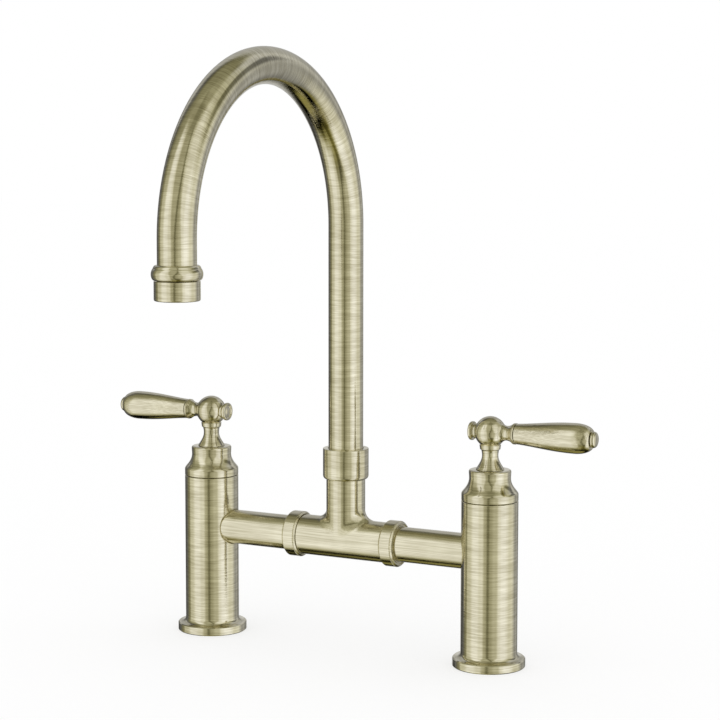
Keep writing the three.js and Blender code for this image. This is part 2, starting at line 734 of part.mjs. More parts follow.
/** Swivel: a grooved spigot in the riser, a flange under the nut and a stub in the spout tube. */
function spoutSpigot() {
  const grooveFloor = oRingCentre - oRingRadius - oRingSqueeze;
  const outline = new THREE.Path().moveTo(spigotBore, spigotBottom).lineTo(spigotRadius, spigotBottom);
  for (const position of oRingPositions) {
    const middle = spigotBottom + position;
    const halfWidth = oRingRadius + slipGap;
    outline.lineTo(spigotRadius, middle - halfWidth).lineTo(grooveFloor, middle - halfWidth);
    outline.lineTo(grooveFloor, middle + halfWidth).lineTo(spigotRadius, middle + halfWidth);
  }
  outline
    .lineTo(spigotRadius, riserTop + seatGap)
    .lineTo(teeRadius, riserTop + seatGap)
    .lineTo(teeRadius, spigotFlangeTop)
    .lineTo(tubeBore - slipGap, spigotFlangeTop)
    .lineTo(tubeBore - slipGap, spoutStart + spigotStub)
    .lineTo(spigotBore, spoutStart + spigotStub);
  return revolve(outline, tinySides);
}

function spigotORing(position) {
  const geometry = new THREE.TorusGeometry(oRingCentre, oRingRadius, 6, tinySides);
  return geometry.translate(0, 0, spigotBottom + position);
}

// ---------------------------------------------------------------- spout

/** Centreline of the spout: a straight rise, a half circle forwards and a short straight drop. */
class GooseneckCurve extends THREE.Curve {
  /** Each whole step of t * stepCount is one facet: one for the rise, archSteps round, one for the drop. */
  constructor() {
    super();
    this.stepCount = archSteps + 2;
  }

  angleAt(t) {
    const step = THREE.MathUtils.clamp(t * this.stepCount - 1, 0, archSteps);
    return (Math.PI * step) / archSteps;
  }

  getPointAt(t) {
    const angle = this.angleAt(t);
    const rise = THREE.MathUtils.clamp(1 - t * this.stepCount, 0, 1) * (archHeight - spoutStart);
    const drop = THREE.MathUtils.clamp(t * this.stepCount - this.stepCount + 1, 0, 1) * outletDrop;
    const along = archRadius * (1 - Math.cos(angle));
    return new THREE.Vector3(0, -along, archHeight + archRadius * Math.sin(angle) - rise - drop);
  }

  getTangentAt(t) {
    const angle = this.angleAt(t);
    return new THREE.Vector3(0, -Math.sin(angle), Math.cos(angle));
  }
}

function spoutTube() {
  const section = new THREE.Shape(circleCorners(tubeRadius, largeSides));
  section.holes.push(new THREE.Path(circleCorners(tubeBore, smallSides)));
  const path = new GooseneckCurve();
  return new THREE.ExtrudeGeometry(section, { steps: path.stepCount, extrudePath: path });
}

/** Collar on the spout's end: a thin ring over a full round bead, with a ledge for the tube inside. */
function outletCollar() {
  const beadTop = collarTop - outletRingHeight;
  const beadMiddle = (beadTop + collarBottom) / 2 + 0.4;
  const outline = new THREE.Path()
    .moveTo(housingSpigotRadius + slipGap, collarBottom)
    .lineTo(housingRadius, collarBottom)
    .bezierCurveTo(
      outletBeadRadius - 0.4, collarBottom + 0.6,
      outletBeadRadius, beadMiddle - 1.6,
      outletBeadRadius, beadMiddle,
    )
    .bezierCurveTo(
      outletBeadRadius, beadMiddle + 1.5,
      outletBeadRadius - 0.8, beadTop - 0.2,
      outletRingRadius - 0.3, beadTop,
    )
    .lineTo(outletRingRadius, beadTop + 0.6)
    .lineTo(outletRingRadius, collarTop - 0.8)
    .lineTo(outletRingRadius - 0.7, collarTop)
    .lineTo(tubePocket, collarTop)
    .lineTo(tubePocket, ledgeTop)
    .lineTo(tubeBore, ledgeTop)
    .lineTo(tubeBore, ledgeBottom)
    .lineTo(housingSpigotRadius + slipGap, ledgeBottom);
  return revolve(outline, largeSides, 2);
}

/** Aerator housing: a smooth barrel screwed into the collar, with a lip under the insert. */
function aeratorHousing() {
  const lipRadius = housingBore - housingLipWidth;
  const outline = new THREE.Path()
    .moveTo(lipRadius, housingBottom)
    .lineTo(housingRadius - housingBevel, housingBottom)
    .lineTo(housingRadius, housingBottom + housingBevel)
    .lineTo(housingRadius, housingTop)
    .lineTo(housingSpigotRadius, housingTop)
    .lineTo(housingSpigotRadius, aeratorWasherTop)
    .lineTo(housingBore, aeratorWasherTop)
    .lineTo(housingBore, housingBottom + housingLip)
    .lineTo(lipRadius, housingBottom + housingLip);
  return revolve(outline, largeSides);
}

/** Aerator insert: a plug pierced by one stream hole in the middle and a circle of them round it. */
function aeratorInsert() {
  const plug = new THREE.Shape(circleCorners(insertRadius, largeSides));
  const centres = [new THREE.Vector2(), ...circleCorners(streamCircleRadius, streamHoleCount)];
  for (const centre of centres) {
    plug.holes.push(new THREE.Path(circleCorners(streamHoleRadius, holeSides, centre)));
  }
  const options = { depth: insertTop - insertBottom, bevelEnabled: false };
  return new THREE.ExtrudeGeometry(plug, options).translate(0, 0, insertBottom);
}

function aeratorWasherRing() {
  const bottom = aeratorWasherTop - aeratorWasher;
  return ring(insertRadius - aeratorWasherWidth, insertRadius, bottom, aeratorWasherTop, tinySides);
}

// ---------------------------------------------------------------- assembly

/** One side of the faucet, with its pillar's axis on Z, the bridge towards +X and the lever towards -X. */
function sideAssembly(side) {
  const assembly = new THREE.Group();
  assembly.add(
    piece(`${side}_pillar_body`, pillarBody(), brushedBrass),
    piece(`${side}_foot_gasket`, footGasket(), blackRubber),
    piece(`${side}_inlet_washer`, inletWasher(), blackRubber),
    piece(`${side}_bonnet`, bonnet(), brushedBrass),
    piece(`${side}_valve_body`, valveBody(), rawBrass),
    piece(`${side}_valve_seal_ring`, valveSealRing(), blackRubber),
    piece(`${side}_seat_seal`, seatSeal(), blackRubber),
    piece(`${side}_fixed_disc`, fixedDisc(), whiteCeramic),
    piece(`${side}_moving_disc`, movingDisc(), whiteCeramic),
    piece(`${side}_stem`, stem(), rawBrass),
    piece(`${side}_stem_seal_ring`, stemSealRing(), blackRubber),
    piece(`${side}_handle_hub`, handleHub(), brushedBrass),
    piece(`${side}_bridge_leg`, bridgeLeg(), brushedBrass),
    piece(`${side}_union_washer`, unionWasherRing(), blackRubber),
    piece(`${side}_union_nut`, unionNut(), brushedBrass),
  );

  const lever = new THREE.Group();
  lever.position.z = ballHeight;
  lever.rotation.y = -Math.PI / 2;
  lever.add(
    piece(`${side}_lever_neck`, leverNeck(), brushedBrass),
    piece(`${side}_lever_grip`, leverGrip(), brushedBrass),
    piece(`${side}_lever_finial`, leverFinial(), brushedBrass),
  );

  const knob = new THREE.Group();
  knob.position.z = ballHeight;
  knob.rotation.y = Math.PI / 2;
  knob.add(piece(`${side}_hub_knob`, hubKnob(), brushedBrass));

  assembly.add(lever, knob);
  return assembly;
}

/** The tee on the middle of the bridge and the nut and washer that hold the spout. */
function bridgeCentre() {
  const assembly = new THREE.Group();
  assembly.add(
    piece('tee_body', teeBody(), brushedBrass),
    piece('spout_nut', spoutNut(), brushedBrass),
    piece('slip_washer', slipWasherRing(), whiteNylon),
  );
  return assembly;
}

/** Everything that swivels with the spout. */
function spoutAssembly() {
  const assembly = new THREE.Group();
  assembly.add(
    piece('spout_spigot', spoutSpigot(), rawBrass),
    piece('spout_tube', spoutTube(), brushedBrass),
  );
  oRingPositions.forEach((position, i) => {
    assembly.add(piece(`spigot_o_ring_${i + 1}`, spigotORing(position), blackRubber));
  });

  const outlet = new THREE.Group();
  outlet.position.y = -spoutReach;
  outlet.add(
    piece('outlet_collar', outletCollar(), brushedBrass),
    piece('aerator_housing', aeratorHousing(), brushedBrass),
    piece('aerator_insert', aeratorInsert(), whiteNylon),
    piece('aerator_washer', aeratorWasherRing(), blackRubber),
  );
  assembly.add(outlet);
  return assembly;
}

const leftSide = sideAssembly('left');
leftSide.position.x = -pillarSpacing / 2;

const rightSide = sideAssembly('right');
rightSide.position.x = pillarSpacing / 2;
rightSide.rotation.z = Math.PI;

const group = new THREE.Group();
group.position.y = deckCentre;
group.add(leftSide, rightSide, bridgeCentre(), spoutAssembly());

export default group;
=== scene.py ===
"""Bridge kitchen faucet in brushed brass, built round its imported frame.

Two turned pillars with lever handles carry a bridge and a tee, and a gooseneck spout swivels on the tee.
Outlines are drawn in millimetres as (radius, height) points on each piece's own axis. Meshes are in metres.
"""

import json
import math

import bmesh
import bpy
import numpy as np
from bpy.props import FloatProperty, FloatVectorProperty, PointerProperty
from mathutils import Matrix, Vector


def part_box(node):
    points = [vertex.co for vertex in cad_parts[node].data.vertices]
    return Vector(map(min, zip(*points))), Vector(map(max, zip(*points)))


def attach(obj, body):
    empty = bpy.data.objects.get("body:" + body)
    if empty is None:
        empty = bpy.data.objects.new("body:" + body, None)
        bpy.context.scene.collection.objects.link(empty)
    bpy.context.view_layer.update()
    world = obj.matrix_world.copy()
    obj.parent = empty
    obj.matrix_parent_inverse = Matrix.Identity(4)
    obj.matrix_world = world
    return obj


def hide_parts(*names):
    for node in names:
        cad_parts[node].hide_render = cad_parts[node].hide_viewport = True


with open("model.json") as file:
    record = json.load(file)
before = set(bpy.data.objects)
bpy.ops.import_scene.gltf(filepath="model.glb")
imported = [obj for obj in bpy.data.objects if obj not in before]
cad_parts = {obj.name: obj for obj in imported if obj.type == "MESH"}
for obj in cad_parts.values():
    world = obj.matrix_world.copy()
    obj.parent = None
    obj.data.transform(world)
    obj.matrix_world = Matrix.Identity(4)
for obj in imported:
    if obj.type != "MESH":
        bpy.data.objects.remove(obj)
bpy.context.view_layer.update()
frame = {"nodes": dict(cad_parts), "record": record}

bl_info = {
    "name": "Bridge faucet",
    "version": (1, 0, 0),
    "blender": (4, 5, 0),
    "location": "3D View > Sidebar > Faucet",
    "description": "Turned, tubed and cast surfaces of a bridge kitchen faucet in brushed brass",
    "category": "Add Mesh",
}

MM = 0.001


def cad_box(node):
    """Lowest and highest corner of a node of the frame, in millimetres."""
    low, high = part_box(node)
    return np.array(low) / MM, np.array(high) / MM


def cad_middle(node):
    low, high = cad_box(node)
    return (low + high) / 2


def cad_radius(node, across=0):
    """Largest radius of a turned node, from its box."""
    low, high = cad_box(node)
    return float(high[across] - low[across]) / 2


# ---------------------------------------------------------------- places, from the frame

BRIDGE_Y = float(cad_middle("left_pillar_body")[1])
PILLAR_X = float(cad_middle("right_pillar_body")[0])
BRIDGE_Z = float(cad_middle("left_union_nut")[2])
OUTLET_Y = float(cad_middle("outlet_collar")[1])
BALL_Z = float(cad_middle("left_hub_knob")[2])
BARREL_TOP = float(cad_box("left_pillar_body")[1][2])
BONNET_TOP = float(cad_box("left_bonnet")[1][2])
TUBE_TOP = float(cad_box("spout_tube")[1][2])
TUBE_START = float(cad_box("spout_tube")[0][2])
TUBE_END = float(cad_box("outlet_collar")[0][2]) + 3.8  # just over the ledge inside the collar

# ---------------------------------------------------------------- sizes that stay hidden or small

SEAT_GAP = 0.3  # along the axis, between pieces that rest on each other
SLIP_GAP = 0.3  # around the axis, between a piece and what it fits in
EDGE = 0.25  # rounding of an ordinary machined edge
SEAM = 0.3  # chamfer on both sides of the seam between barrel and bonnet
TOUCH = 0.05  # between visible rims that meet without a gap, and do not move on each other
TURN_GAP = 0.12  # under the hub, which turns on the bonnet's cap
SOCKET_RADIUS, SOCKET_DEPTH, PASSAGE_RADIUS = 10.2, 18.0, 5.5
GASKET_INNER, GASKET_OUTER, GASKET_DEPTH = 16.0, 20.0, 1.5
COLLAR_WALL, CHAMBER_WALL, VALVE_BAY, SEAT_CLEARANCE = 3.5, 5.5, 15.0, 0.7
BONNET_SHELL, BONNET_ROOF, NECK_RADIUS, FLANGE_RISE = 3.2, 6.0, 6.5, 3.3
STEM_TIP_RADIUS, SHANK_RADIUS = 3.0, 2.6
RING_END, GRIP_START, SHANK_END, FINIAL_TIP = 17.4, 17.7, 25.7, 69.5  # along the lever, from the ball
STUD_DEPTH = 6.0  # of the finial in the grip
LEG_END, LEG_FLANGE, FLANGE_LENGTH = 64.2, 1.6, 1.5
RUN_OVER, RISER_OVER = 1.7, 1.35  # radius of the tee's run and riser over the tubes
FILLET_GROWTH = 10.0  # of the rolled ball, towards the tee's front and back
NUT_LIP, NUT_EDGE, UNION_LIP = 2.2, 0.5, 1.5
RISER_BORE, THROAT_RADIUS, SPIGOT_LENGTH = 10.4, 7.6, 24.0
COLLAR_RISE = 0.6  # of the bead's underside over the solid one
HOUSING_SPIGOT_RADIUS, HOUSING_WALL, HOUSING_LIP = 10.9, 1.0, 1.5

# ---------------------------------------------------------------- the stage

DOME_RADIUS = 20.0  # metres
BRIGHTEST = 1.38  # of the dome: its steps are written as the brass shows them
CAMERA_TURN, CAMERA_PITCH = 28.62, 5.83  # degrees
CAMERA_PLACE = (0.623996, -1.156 + BRIDGE_Y * MM, 0.333553)
LENS, LENS_SHIFT = 104.965, (0.0328, -0.03396)
PAPER_GLOW = 0.65  # share of the floor's white that is its own


def length(name, description, default):
    """A size, given in millimetres and kept in metres."""
    return FloatProperty(name=name, description=description, default=default * MM, unit="LENGTH")


def tone(name, description, default):
    return FloatVectorProperty(
        name=name, description=description, subtype="COLOR", size=3, default=default, min=0, max=1)


class FaucetSizes(bpy.types.PropertyGroup):
    """Sizes of the visible forms."""

    barrel_radius: length("Barrel radius", "Outside of the two pillars", 17.5)
    foot_radius: length("Foot radius", "Widest part of a pillar's foot", cad_radius("left_pillar_body"))
    foot_rim: length("Foot rim", "Height of the foot's upright edge", 5.6)
    foot_flare: length("Foot flare", "Height of the hollow sweep from the rim to the barrel", 3.5)
    bonnet_band: length("Bonnet band", "Height of the upright band over the barrel", 4.0)
    bonnet_ogee: length("Bonnet shoulder", "Height of the S-shaped shoulder", 10.0)
    waist_radius: length("Bonnet waist", "Radius under the bonnet's cap", 12.8)
    hub_waist: length("Hub waist", "Thinnest radius of the handle hub", 5.0)
    ball_radius: length("Ball radius", "Ball on top of the hub", 9.7)
    grip_belly: length("Grip belly", "Widest radius of the lever's grip", 9.25)
    grip_length: length("Grip length", "Length of the lever's grip", 48.4)
    tube_radius: length("Tube radius", "Outside of the bridge legs and spout", cad_radius("spout_tube"))
    tube_wall: length("Tube wall", "Thickness of the tubes", 1.5)
    tee_fillet: length("Tee fillet", "Radius of the ball rolled between run and riser", 8.0)
    nut_radius: length("Nut radius", "Outside of the union nuts and of the spout nut", 14.5)
    arch_radius: length("Arch radius", "Centreline of the spout's half circle", (BRIDGE_Y - OUTLET_Y) / 2)
    bead_radius: length("Bead radius", "Full bead of the outlet collar", 14.4)
    housing_radius: length("Aerator radius", "Outside of the aerator housing", 12.9)


class FaucetFinish(bpy.types.PropertyGroup):
    """Colours of the materials and of the stage."""

    brass: tone("Brass", "Brushed brass between the streaks", (0.97, 0.93, 0.76))
    streak: tone("Streak", "Darker patina that lies in the brushing", (0.55, 0.51, 0.37))
    raw_brass: tone("Raw brass", "Machined inner pieces", (0.69, 0.55, 0.3))
    rubber: tone("Rubber", "Seals and washers", (0.03, 0.03, 0.03))
    ceramic: tone("Ceramic", "Valve discs", (0.9, 0.89, 0.86))
    nylon: tone("Nylon", "Aerator insert and slip washer", (0.84, 0.83, 0.8))
    backdrop: tone("Backdrop", "Floor and background", (1.0, 1.0, 1.0))


class Millimetres:
    """The size properties as plain numbers in millimetres."""

    def __init__(self, group):
        self.group = group

    def __getattr__(self, name):
        return getattr(self.group, name) / MM


# ---------------------------------------------------------------- outlines

class Outline:
    """A line in the (radius, height) half plane, drawn from point to point."""

    def __init__(self, radius, height):
        self.parts = [np.array([[radius, height]], float)]

    def line(self, *points):
        self.parts.append(np.array(points, float))
        return self

    def curve(self, *controls, steps=14):
        """Bezier curve from the last point: each weight is a binomial times powers of t and 1 - t."""
        points = np.vstack([self.parts[-1][-1:], np.array(controls, float)])
        degree = len(points) - 1
        t = np.linspace(0, 1, steps + 1)[1:, None]
        powers = np.arange(degree + 1)
        binomial = np.array([math.comb(degree, k) for k in powers])
        self.parts.append(binomial * t ** powers * (1 - t) ** (degree - powers) @ points)
        return self

    def arc(self, centre, radius, start, end, steps):
        """Circle about centre, (radius cos a, radius sin a) for a from start to end."""
        angles = np.linspace(start, end, steps + 1)
        self.parts.append(np.array(centre) + radius * np.column_stack([np.cos(angles), np.sin(angles)]))
        return self

    def rounded(self, edge=EDGE, steps=5, support=0.04):
        """All points, with each sharp corner replaced by a quadratic curve tangent to both its edges.

        The curve leaves each edge at edge * tan(half the turn) from the corner, or at 0.4 of the edge
        where that is less. A support point follows on each side, so that flat faces are shaded flat.
        """
        points = np.vstack(self.parts)
        step = np.linalg.norm(np.diff(points, axis=0, append=points[:1]), axis=1)
        points = points[np.concatenate([[True], step[:-1] > 1e-6])]
        closed = points[0, 0] > 1e-6
        if closed and np.linalg.norm(points[0] - points[-1]) < 1e-6:
            points = points[:-1]
        back = np.roll(points, 1, axis=0) - points
        ahead = np.roll(points, -1, axis=0) - points
        back_length = np.linalg.norm(back, axis=1, keepdims=True)
        ahead_length = np.linalg.norm(ahead, axis=1, keepdims=True)
        back, ahead = back / back_length, ahead / ahead_length
        turn = np.arccos(np.clip(-(back * ahead).sum(axis=1, keepdims=True), -1, 1))
        sharp = turn[:, 0] > math.radians(12)
        if not closed:
            sharp[[0, -1]] = False
        shorter = np.minimum(back_length, ahead_length)
        reach = np.minimum(edge * np.tan(turn / 2), 0.4 * shorter)
        held = np.minimum(reach + support, 0.46 * shorter)
        t = np.linspace(0, 1, steps)[None, :, None]
        corner = points[:, None]
        start, end = corner + (back * reach)[:, None], corner + (ahead * reach)[:, None]
        curve = (1 - t) ** 2 * start + 2 * t * (1 - t) * corner + t ** 2 * end
        supports = [(points + side * held)[:, None] for side in (back, ahead)]
        rows = np.concatenate([supports[0], curve, supports[1]], axis=1)
        rows[~sharp] = corner[~sharp]
        keep = np.ones(rows.shape[:2], bool)
        keep[~sharp, 1:] = False
        smooth = rows[keep]
        return np.vstack([smooth, smooth[:1]]) if closed else smooth


# ---------------------------------------------------------------- surfaces

class Axis:
    """A place to build on: an origin in millimetres and three directions, the last along the axis."""

    def __init__(self, origin, along=(0, 0, 1), across=(1, 0, 0)):
        self.origin = np.array(origin, float)
        along, across = np.array(along, float), np.array(across, float)
        self.turn = np.array([across, np.cross(along, across), along])

    def place(self, local):
        """Points in metres in the frame, from local ones in millimetres."""
        return (self.origin + local @ self.turn) * MM


class Surface:
    """Grids of local points that meet along their edges, welded into one closed mesh."""

    WELD = 0.002  # millimetres

    def __init__(self):
        self.points, self.faces, self.count = [], [], 0

    def grid(self, points, hole=None):
        """Joins each point of an (m, n, 3) grid to its neighbours.

        hole = (row, row, column, column) stays open.
        """
        rows, columns = points.shape[:2]
        index = self.count + np.arange(rows * columns).reshape(rows, columns)
        quads = np.stack([index[:-1, :-1], index[:-1, 1:], index[1:, 1:], index[1:, :-1]], axis=-1)
        keep = np.ones(quads.shape[:2], bool)
        if hole:
            keep[hole[0]:hole[1], hole[2]:hole[3]] = False
        self.faces.append(quads[keep])
        self.points.append(points.reshape(-1, 3))
        self.count += rows * columns
        return self

    def mesh(self, name, axis, turned=None, shares=None):
        """Welds the grids: points on one spot of a fine raster become one, and flat quads triangles.

        The mesh keeps each point's place on its own axis, or the one given in turned, as "turned".
        """
        points = np.vstack(self.points)
        quads = np.vstack(self.faces)
        raster = np.round(points / self.WELD + 0.37).astype(np.int64)
        _, first, where = np.unique(raster, axis=0, return_index=True, return_inverse=True)
        where = where.reshape(-1)
        quads = where[quads]
        same = quads == np.roll(quads, -1, axis=1)
        whole = quads[~same.any(axis=1)]
        single = same.sum(axis=1) == 1
        order = (np.argmax(same[single], axis=1)[:, None] + np.arange(1, 4)) % 4
        triangles = np.take_along_axis(quads[single], order, axis=1)
        local = points[first]
        data = bpy.data.meshes.new(name)
        data.vertices.add(len(local))
        data.vertices.foreach_set("co", axis.place(local).astype(np.float32).ravel())
        loops = np.concatenate([whole.ravel(), triangles.ravel()])
        starts = np.concatenate([4 * np.arange(len(whole)), 4 * len(whole) + 3 * np.arange(len(triangles))])
        data.loops.add(len(loops))
        data.loops.foreach_set("vertex_index", loops.astype(np.int32))
        data.polygons.add(len(starts))
        data.polygons.foreach_set("loop_start", starts.astype(np.int32))
        data.update(calc_edges=True)
        data.validate()
        own = local if turned is None else np.vstack(turned)[first]
        attribute = data.attributes.new("turned", "FLOAT_VECTOR", "POINT")
        attribute.data.foreach_set("vector", (own * MM).astype(np.float32).ravel())
        if shares is not None:
            attribute = data.attributes.new("riser_share", "FLOAT", "POINT")
            attribute.data.foreach_set("value", np.concatenate(shares)[first].astype(np.float32))
        shape = bmesh.new()
        shape.from_mesh(data)
        bmesh.ops.recalc_face_normals(shape, faces=shape.faces)
        shape.to_mesh(data)
        shape.free()
        data.polygons.foreach_set("use_smooth", np.ones(len(data.polygons), bool))
        return data


def angles(sides):
    """Angles of a full turn from the back of the axis, where the seam lies, round to it again."""
    return np.linspace(-math.pi, math.pi, sides + 1)


def turned_grid(profile, sides):
    """Profile turned about the axis: (r cos a, r sin a, z) for each (r, z) and each angle a."""
    around = angles(sides)
    radius, height = profile[:, :1], np.broadcast_to(profile[:, 1:], (len(profile), sides + 1))
    return np.stack([radius * np.cos(around), radius * np.sin(around), height], axis=-1)


def port_grid(radius, hole_radius, middle, columns, rows, sides, steps):
    """Wall of a cylinder round a port that pierces it square to its axis, towards angle 0.

    The port's edge is the circle (h cos f, h sin f) across it, laid on the wall at the angle
    asin(y / radius). It is joined by straight lines, in the unrolled wall, to the border of a window of
    the turned grid.
    """
    edge = 2 * math.pi * columns / sides * radius
    low, high = rows[0] - middle, rows[-1] - middle
    heights = rows - middle
    widths = np.linspace(-edge, edge, 2 * columns + 1)
    half = len(rows) // 2
    right = np.column_stack([np.full(len(rows) - half, edge), heights[half:]])
    top = np.column_stack([widths[::-1][1:], np.full(2 * columns, high)])
    left = np.column_stack([np.full(len(rows) - 1, -edge), heights[::-1][1:]])
    bottom = np.column_stack([widths[1:], np.full(2 * columns, low)])
    last = np.column_stack([np.full(half, edge), heights[1:half + 1]])
    border = np.vstack([right, top, left, bottom, last])
    turn = np.linspace(0, 2 * math.pi, len(border))
    across = radius * np.arcsin(hole_radius * np.cos(turn) / radius)
    rim = np.column_stack([across, hole_radius * np.sin(turn)])
    share = np.linspace(0, 1, steps + 1)[:, None, None]
    flat = (1 - share) * rim + share * border
    around = flat[..., 0] / radius
    return np.stack([radius * np.cos(around), radius * np.sin(around), flat[..., 1] + middle], axis=-1)


def circle_grid(stations, count):
    """Circles across the X axis: each station is (x, radius), or ("wall", cylinder radius, radius)."""
    turn = np.linspace(0, 2 * math.pi, count + 1)
    rows = []
    for station in stations:
        y, z = station[-1] * np.cos(turn), station[-1] * np.sin(turn)
        on_wall = station[0] == "wall"
        x = np.sqrt(station[1] ** 2 - y ** 2) if on_wall else np.full(count + 1, float(station[0]))
        rows.append(np.stack([x, y, z], axis=-1))
    return np.array(rows)


# ---------------------------------------------------------------- shader maths

class Value:
    """A number that varies over a surface. Sums and products of it add Math nodes."""

    def __init__(self, graph, socket):
        self.graph, self.socket = graph, socket

    def __add__(self, other):
        return self.graph.math("ADD", self, other)

    __radd__ = __add__

    def __sub__(self, other):
        return self.graph.math("SUBTRACT", self, other)

    def __rsub__(self, other):
        return self.graph.math("SUBTRACT", other, self)

    def __mul__(self, other):
        return self.graph.math("MULTIPLY", self, other)

    __rmul__ = __mul__

    def at_least(self, low):
        return self.graph.math("MAXIMUM", self, low)

    def at_most(self, high):
        return self.graph.math("MINIMUM", self, high)

    def between(self, low, high):
        """0 at low, 1 at high and a smooth step between them."""
        settings = {"interpolation_type": "SMOOTHSTEP"}
        inputs = {"Value": self, "From Min": low, "From Max": high}
        return self.graph.add("ShaderNodeMapRange", settings, inputs)

    def window(self, start, full, fade, end):
        """1 from full to fade, 0 outside start and end, smooth between."""
        return self.between(start, full) * (1 - self.between(fade, end))

    def stairs(self, *steps):
        """Sum of smooth steps, each given by where it starts, where it ends and its rise."""
        total = 0.0
        for start, end, rise in steps:
            total = self.between(start, end) * rise + total
        return total


class Graph:
    """The nodes of one material."""

    def __init__(self, name):
        self.material = bpy.data.materials.new(name)
        self.material.use_nodes = True
        self.tree = self.material.node_tree
        self.tree.nodes.clear()

    def add(self, kind, settings=None, inputs=None, output=0):
        """A node of any type: its settings first, then the numbers, colours or links of its sockets."""
        node = self.tree.nodes.new(kind)
        for key, value in (settings or {}).items():
            setattr(node, key, value)
        for key, value in (inputs or {}).items():
            if isinstance(value, Value):
                self.tree.links.new(value.socket, node.inputs[key])
            else:
                node.inputs[key].default_value = value
        return Value(self, node.outputs[output]) if node.outputs else None

    def math(self, operation, first, second=0.0):
        return self.add("ShaderNodeMath", {"operation": operation}, {0: first, 1: second})

    def mix(self, factor, first, second):
        """Colour from first to second."""
        return self.add("ShaderNodeMix", {"data_type": "RGBA"}, {0: factor, 6: first, 7: second}, output=2)

    def scaled(self, vector, factors):
        return self.add("ShaderNodeVectorMath", {"operation": "MULTIPLY"}, {0: vector, 1: factors})

    def noise(self, vector, detail=2.0, roughness=0.5):
        inputs = {"Vector": vector, "Scale": 1.0, "Detail": detail, "Roughness": roughness}
        return self.add("ShaderNodeTexNoise", {"noise_dimensions": "3D"}, inputs)

    def finish(self, shader):
        self.add("ShaderNodeOutputMaterial", {}, {"Surface": shader})
        return self.material


def opaque(colour):
    return (*colour, 1.0)


FINE_STREAK = {True: (36.0, 0.4), False: (11.0, 0.5)}  # length and width, along the axis or round it
BROAD_STREAK = {True: (60.0, 1.3), False: (22.0, 1.4)}
BROAD_SHARE = {True: 0.25, False: 0.4}
WANDER = {True: 0.0, False: 0.002}


def streaks(graph, place, along):
    """Brushing, 0 to 1: fine and broad noise, each stretched along the axis or round it, summed by share.

    The lines that run round the axis wander a little along it.
    """
    def stretched(length, width):
        thin, long = 1000 / width, 1000 / length
        return graph.scaled(bent, (thin, thin, long) if along else (long, long, thin))

    bent = place
    wander = graph.noise(stretched(24, 14), detail=1.0) - 0.5
    bent = graph.add("ShaderNodeVectorMath", {"operation": "ADD"}, {
        0: place, 1: graph.add("ShaderNodeCombineXYZ", {}, {"Z": wander * WANDER[along]})})
    fine = graph.noise(stretched(*FINE_STREAK[along]), roughness=0.6)
    broad = graph.noise(stretched(*BROAD_STREAK[along]))
    share = BROAD_SHARE[along]
    return fine.between(0.32, 0.68) * (1 - share) + broad.between(0.34, 0.66) * share


def brushed_brass(name, finish, brushing):
    """Satin brass brushed round the axis, along it, or on the tee a mix of both by riser_share.

    The colour runs from the streak's to the brass's by 0.8 of the streaks and 0.2 of a cloud. The same
    streaks stand up as a slight bump and lower the roughness.
    """
    graph = Graph(name)
    place = graph.add("ShaderNodeAttribute", {"attribute_name": "turned"}, {}, output="Vector")
    if brushing == "tee":
        share = graph.add("ShaderNodeAttribute", {"attribute_name": "riser_share"}, {}, output="Fac")
        x, y, z = (graph.add("ShaderNodeSeparateXYZ", {}, {0: place}, output=k) for k in range(3))
        laid = graph.add("ShaderNodeCombineXYZ", {}, {"X": y, "Y": z, "Z": x})
        streak = streaks(graph, place, False) * share + streaks(graph, laid, True) * (1 - share)
    else:
        streak = streaks(graph, place, brushing == "along")
    cloud = graph.noise(graph.scaled(place, (60, 60, 60)), detail=2.0).between(0.3, 0.7)
    patina = streak * 0.8 + cloud * 0.2
    colour = graph.mix(patina, opaque(finish.streak), opaque(finish.brass))
    bump = graph.add("ShaderNodeBump", {}, {"Strength": 0.12, "Distance": 0.0002, "Height": streak})
    shader = graph.add("ShaderNodeBsdfPrincipled", {}, {
        "Base Color": colour, "Metallic": 1.0, "Roughness": 0.095 - streak * 0.025, "Normal": bump})
    return graph.finish(shader)


def raw_brass(name, finish):
    """Machined brass: fine rings round the axis and a slight tarnish."""
    graph = Graph(name)
    place = graph.add("ShaderNodeTexCoord", {}, {}, output="Object")
    rings = graph.noise(graph.scaled(place, (40, 40, 2500)), detail=2.0)
    tarnish = graph.noise(graph.scaled(place, (180, 180, 180)), detail=3.0).between(0.35, 0.75)
    darker = tuple(0.7 * c for c in finish.raw_brass)
    colour = graph.mix(tarnish, opaque(darker), opaque(finish.raw_brass))
    bump = graph.add("ShaderNodeBump", {}, {"Strength": 0.15, "Distance": 0.0002, "Height": rings})
    shader = graph.add("ShaderNodeBsdfPrincipled", {}, {
        "Base Color": colour, "Metallic": 1.0, "Roughness": 0.32 + rings * 0.12, "Normal": bump})
    return graph.finish(shader)


def moulded(name, colour, roughness, grain, bump_strength):
    """Rubber, ceramic or nylon: a fine grain in height and roughness, and a faint cloud in the colour."""
    graph = Graph(name)
    place = graph.add("ShaderNodeTexCoord", {}, {}, output="Object")
    fine = graph.noise(graph.scaled(place, (grain, grain, grain)), detail=3.0)
    cloud = graph.noise(graph.scaled(place, (150, 150, 150)), detail=2.0)
    darker = tuple(0.82 * c for c in colour)
    mixed = graph.mix(cloud.between(0.3, 0.7), opaque(darker), opaque(colour))
    bump = graph.add("ShaderNodeBump", {}, {"Strength": bump_strength, "Distance": 0.0001, "Height": fine})
    shader = graph.add("ShaderNodeBsdfPrincipled", {}, {
        "Base Color": mixed, "Roughness": roughness + fine * 0.1, "Normal": bump})
    return graph.finish(shader)


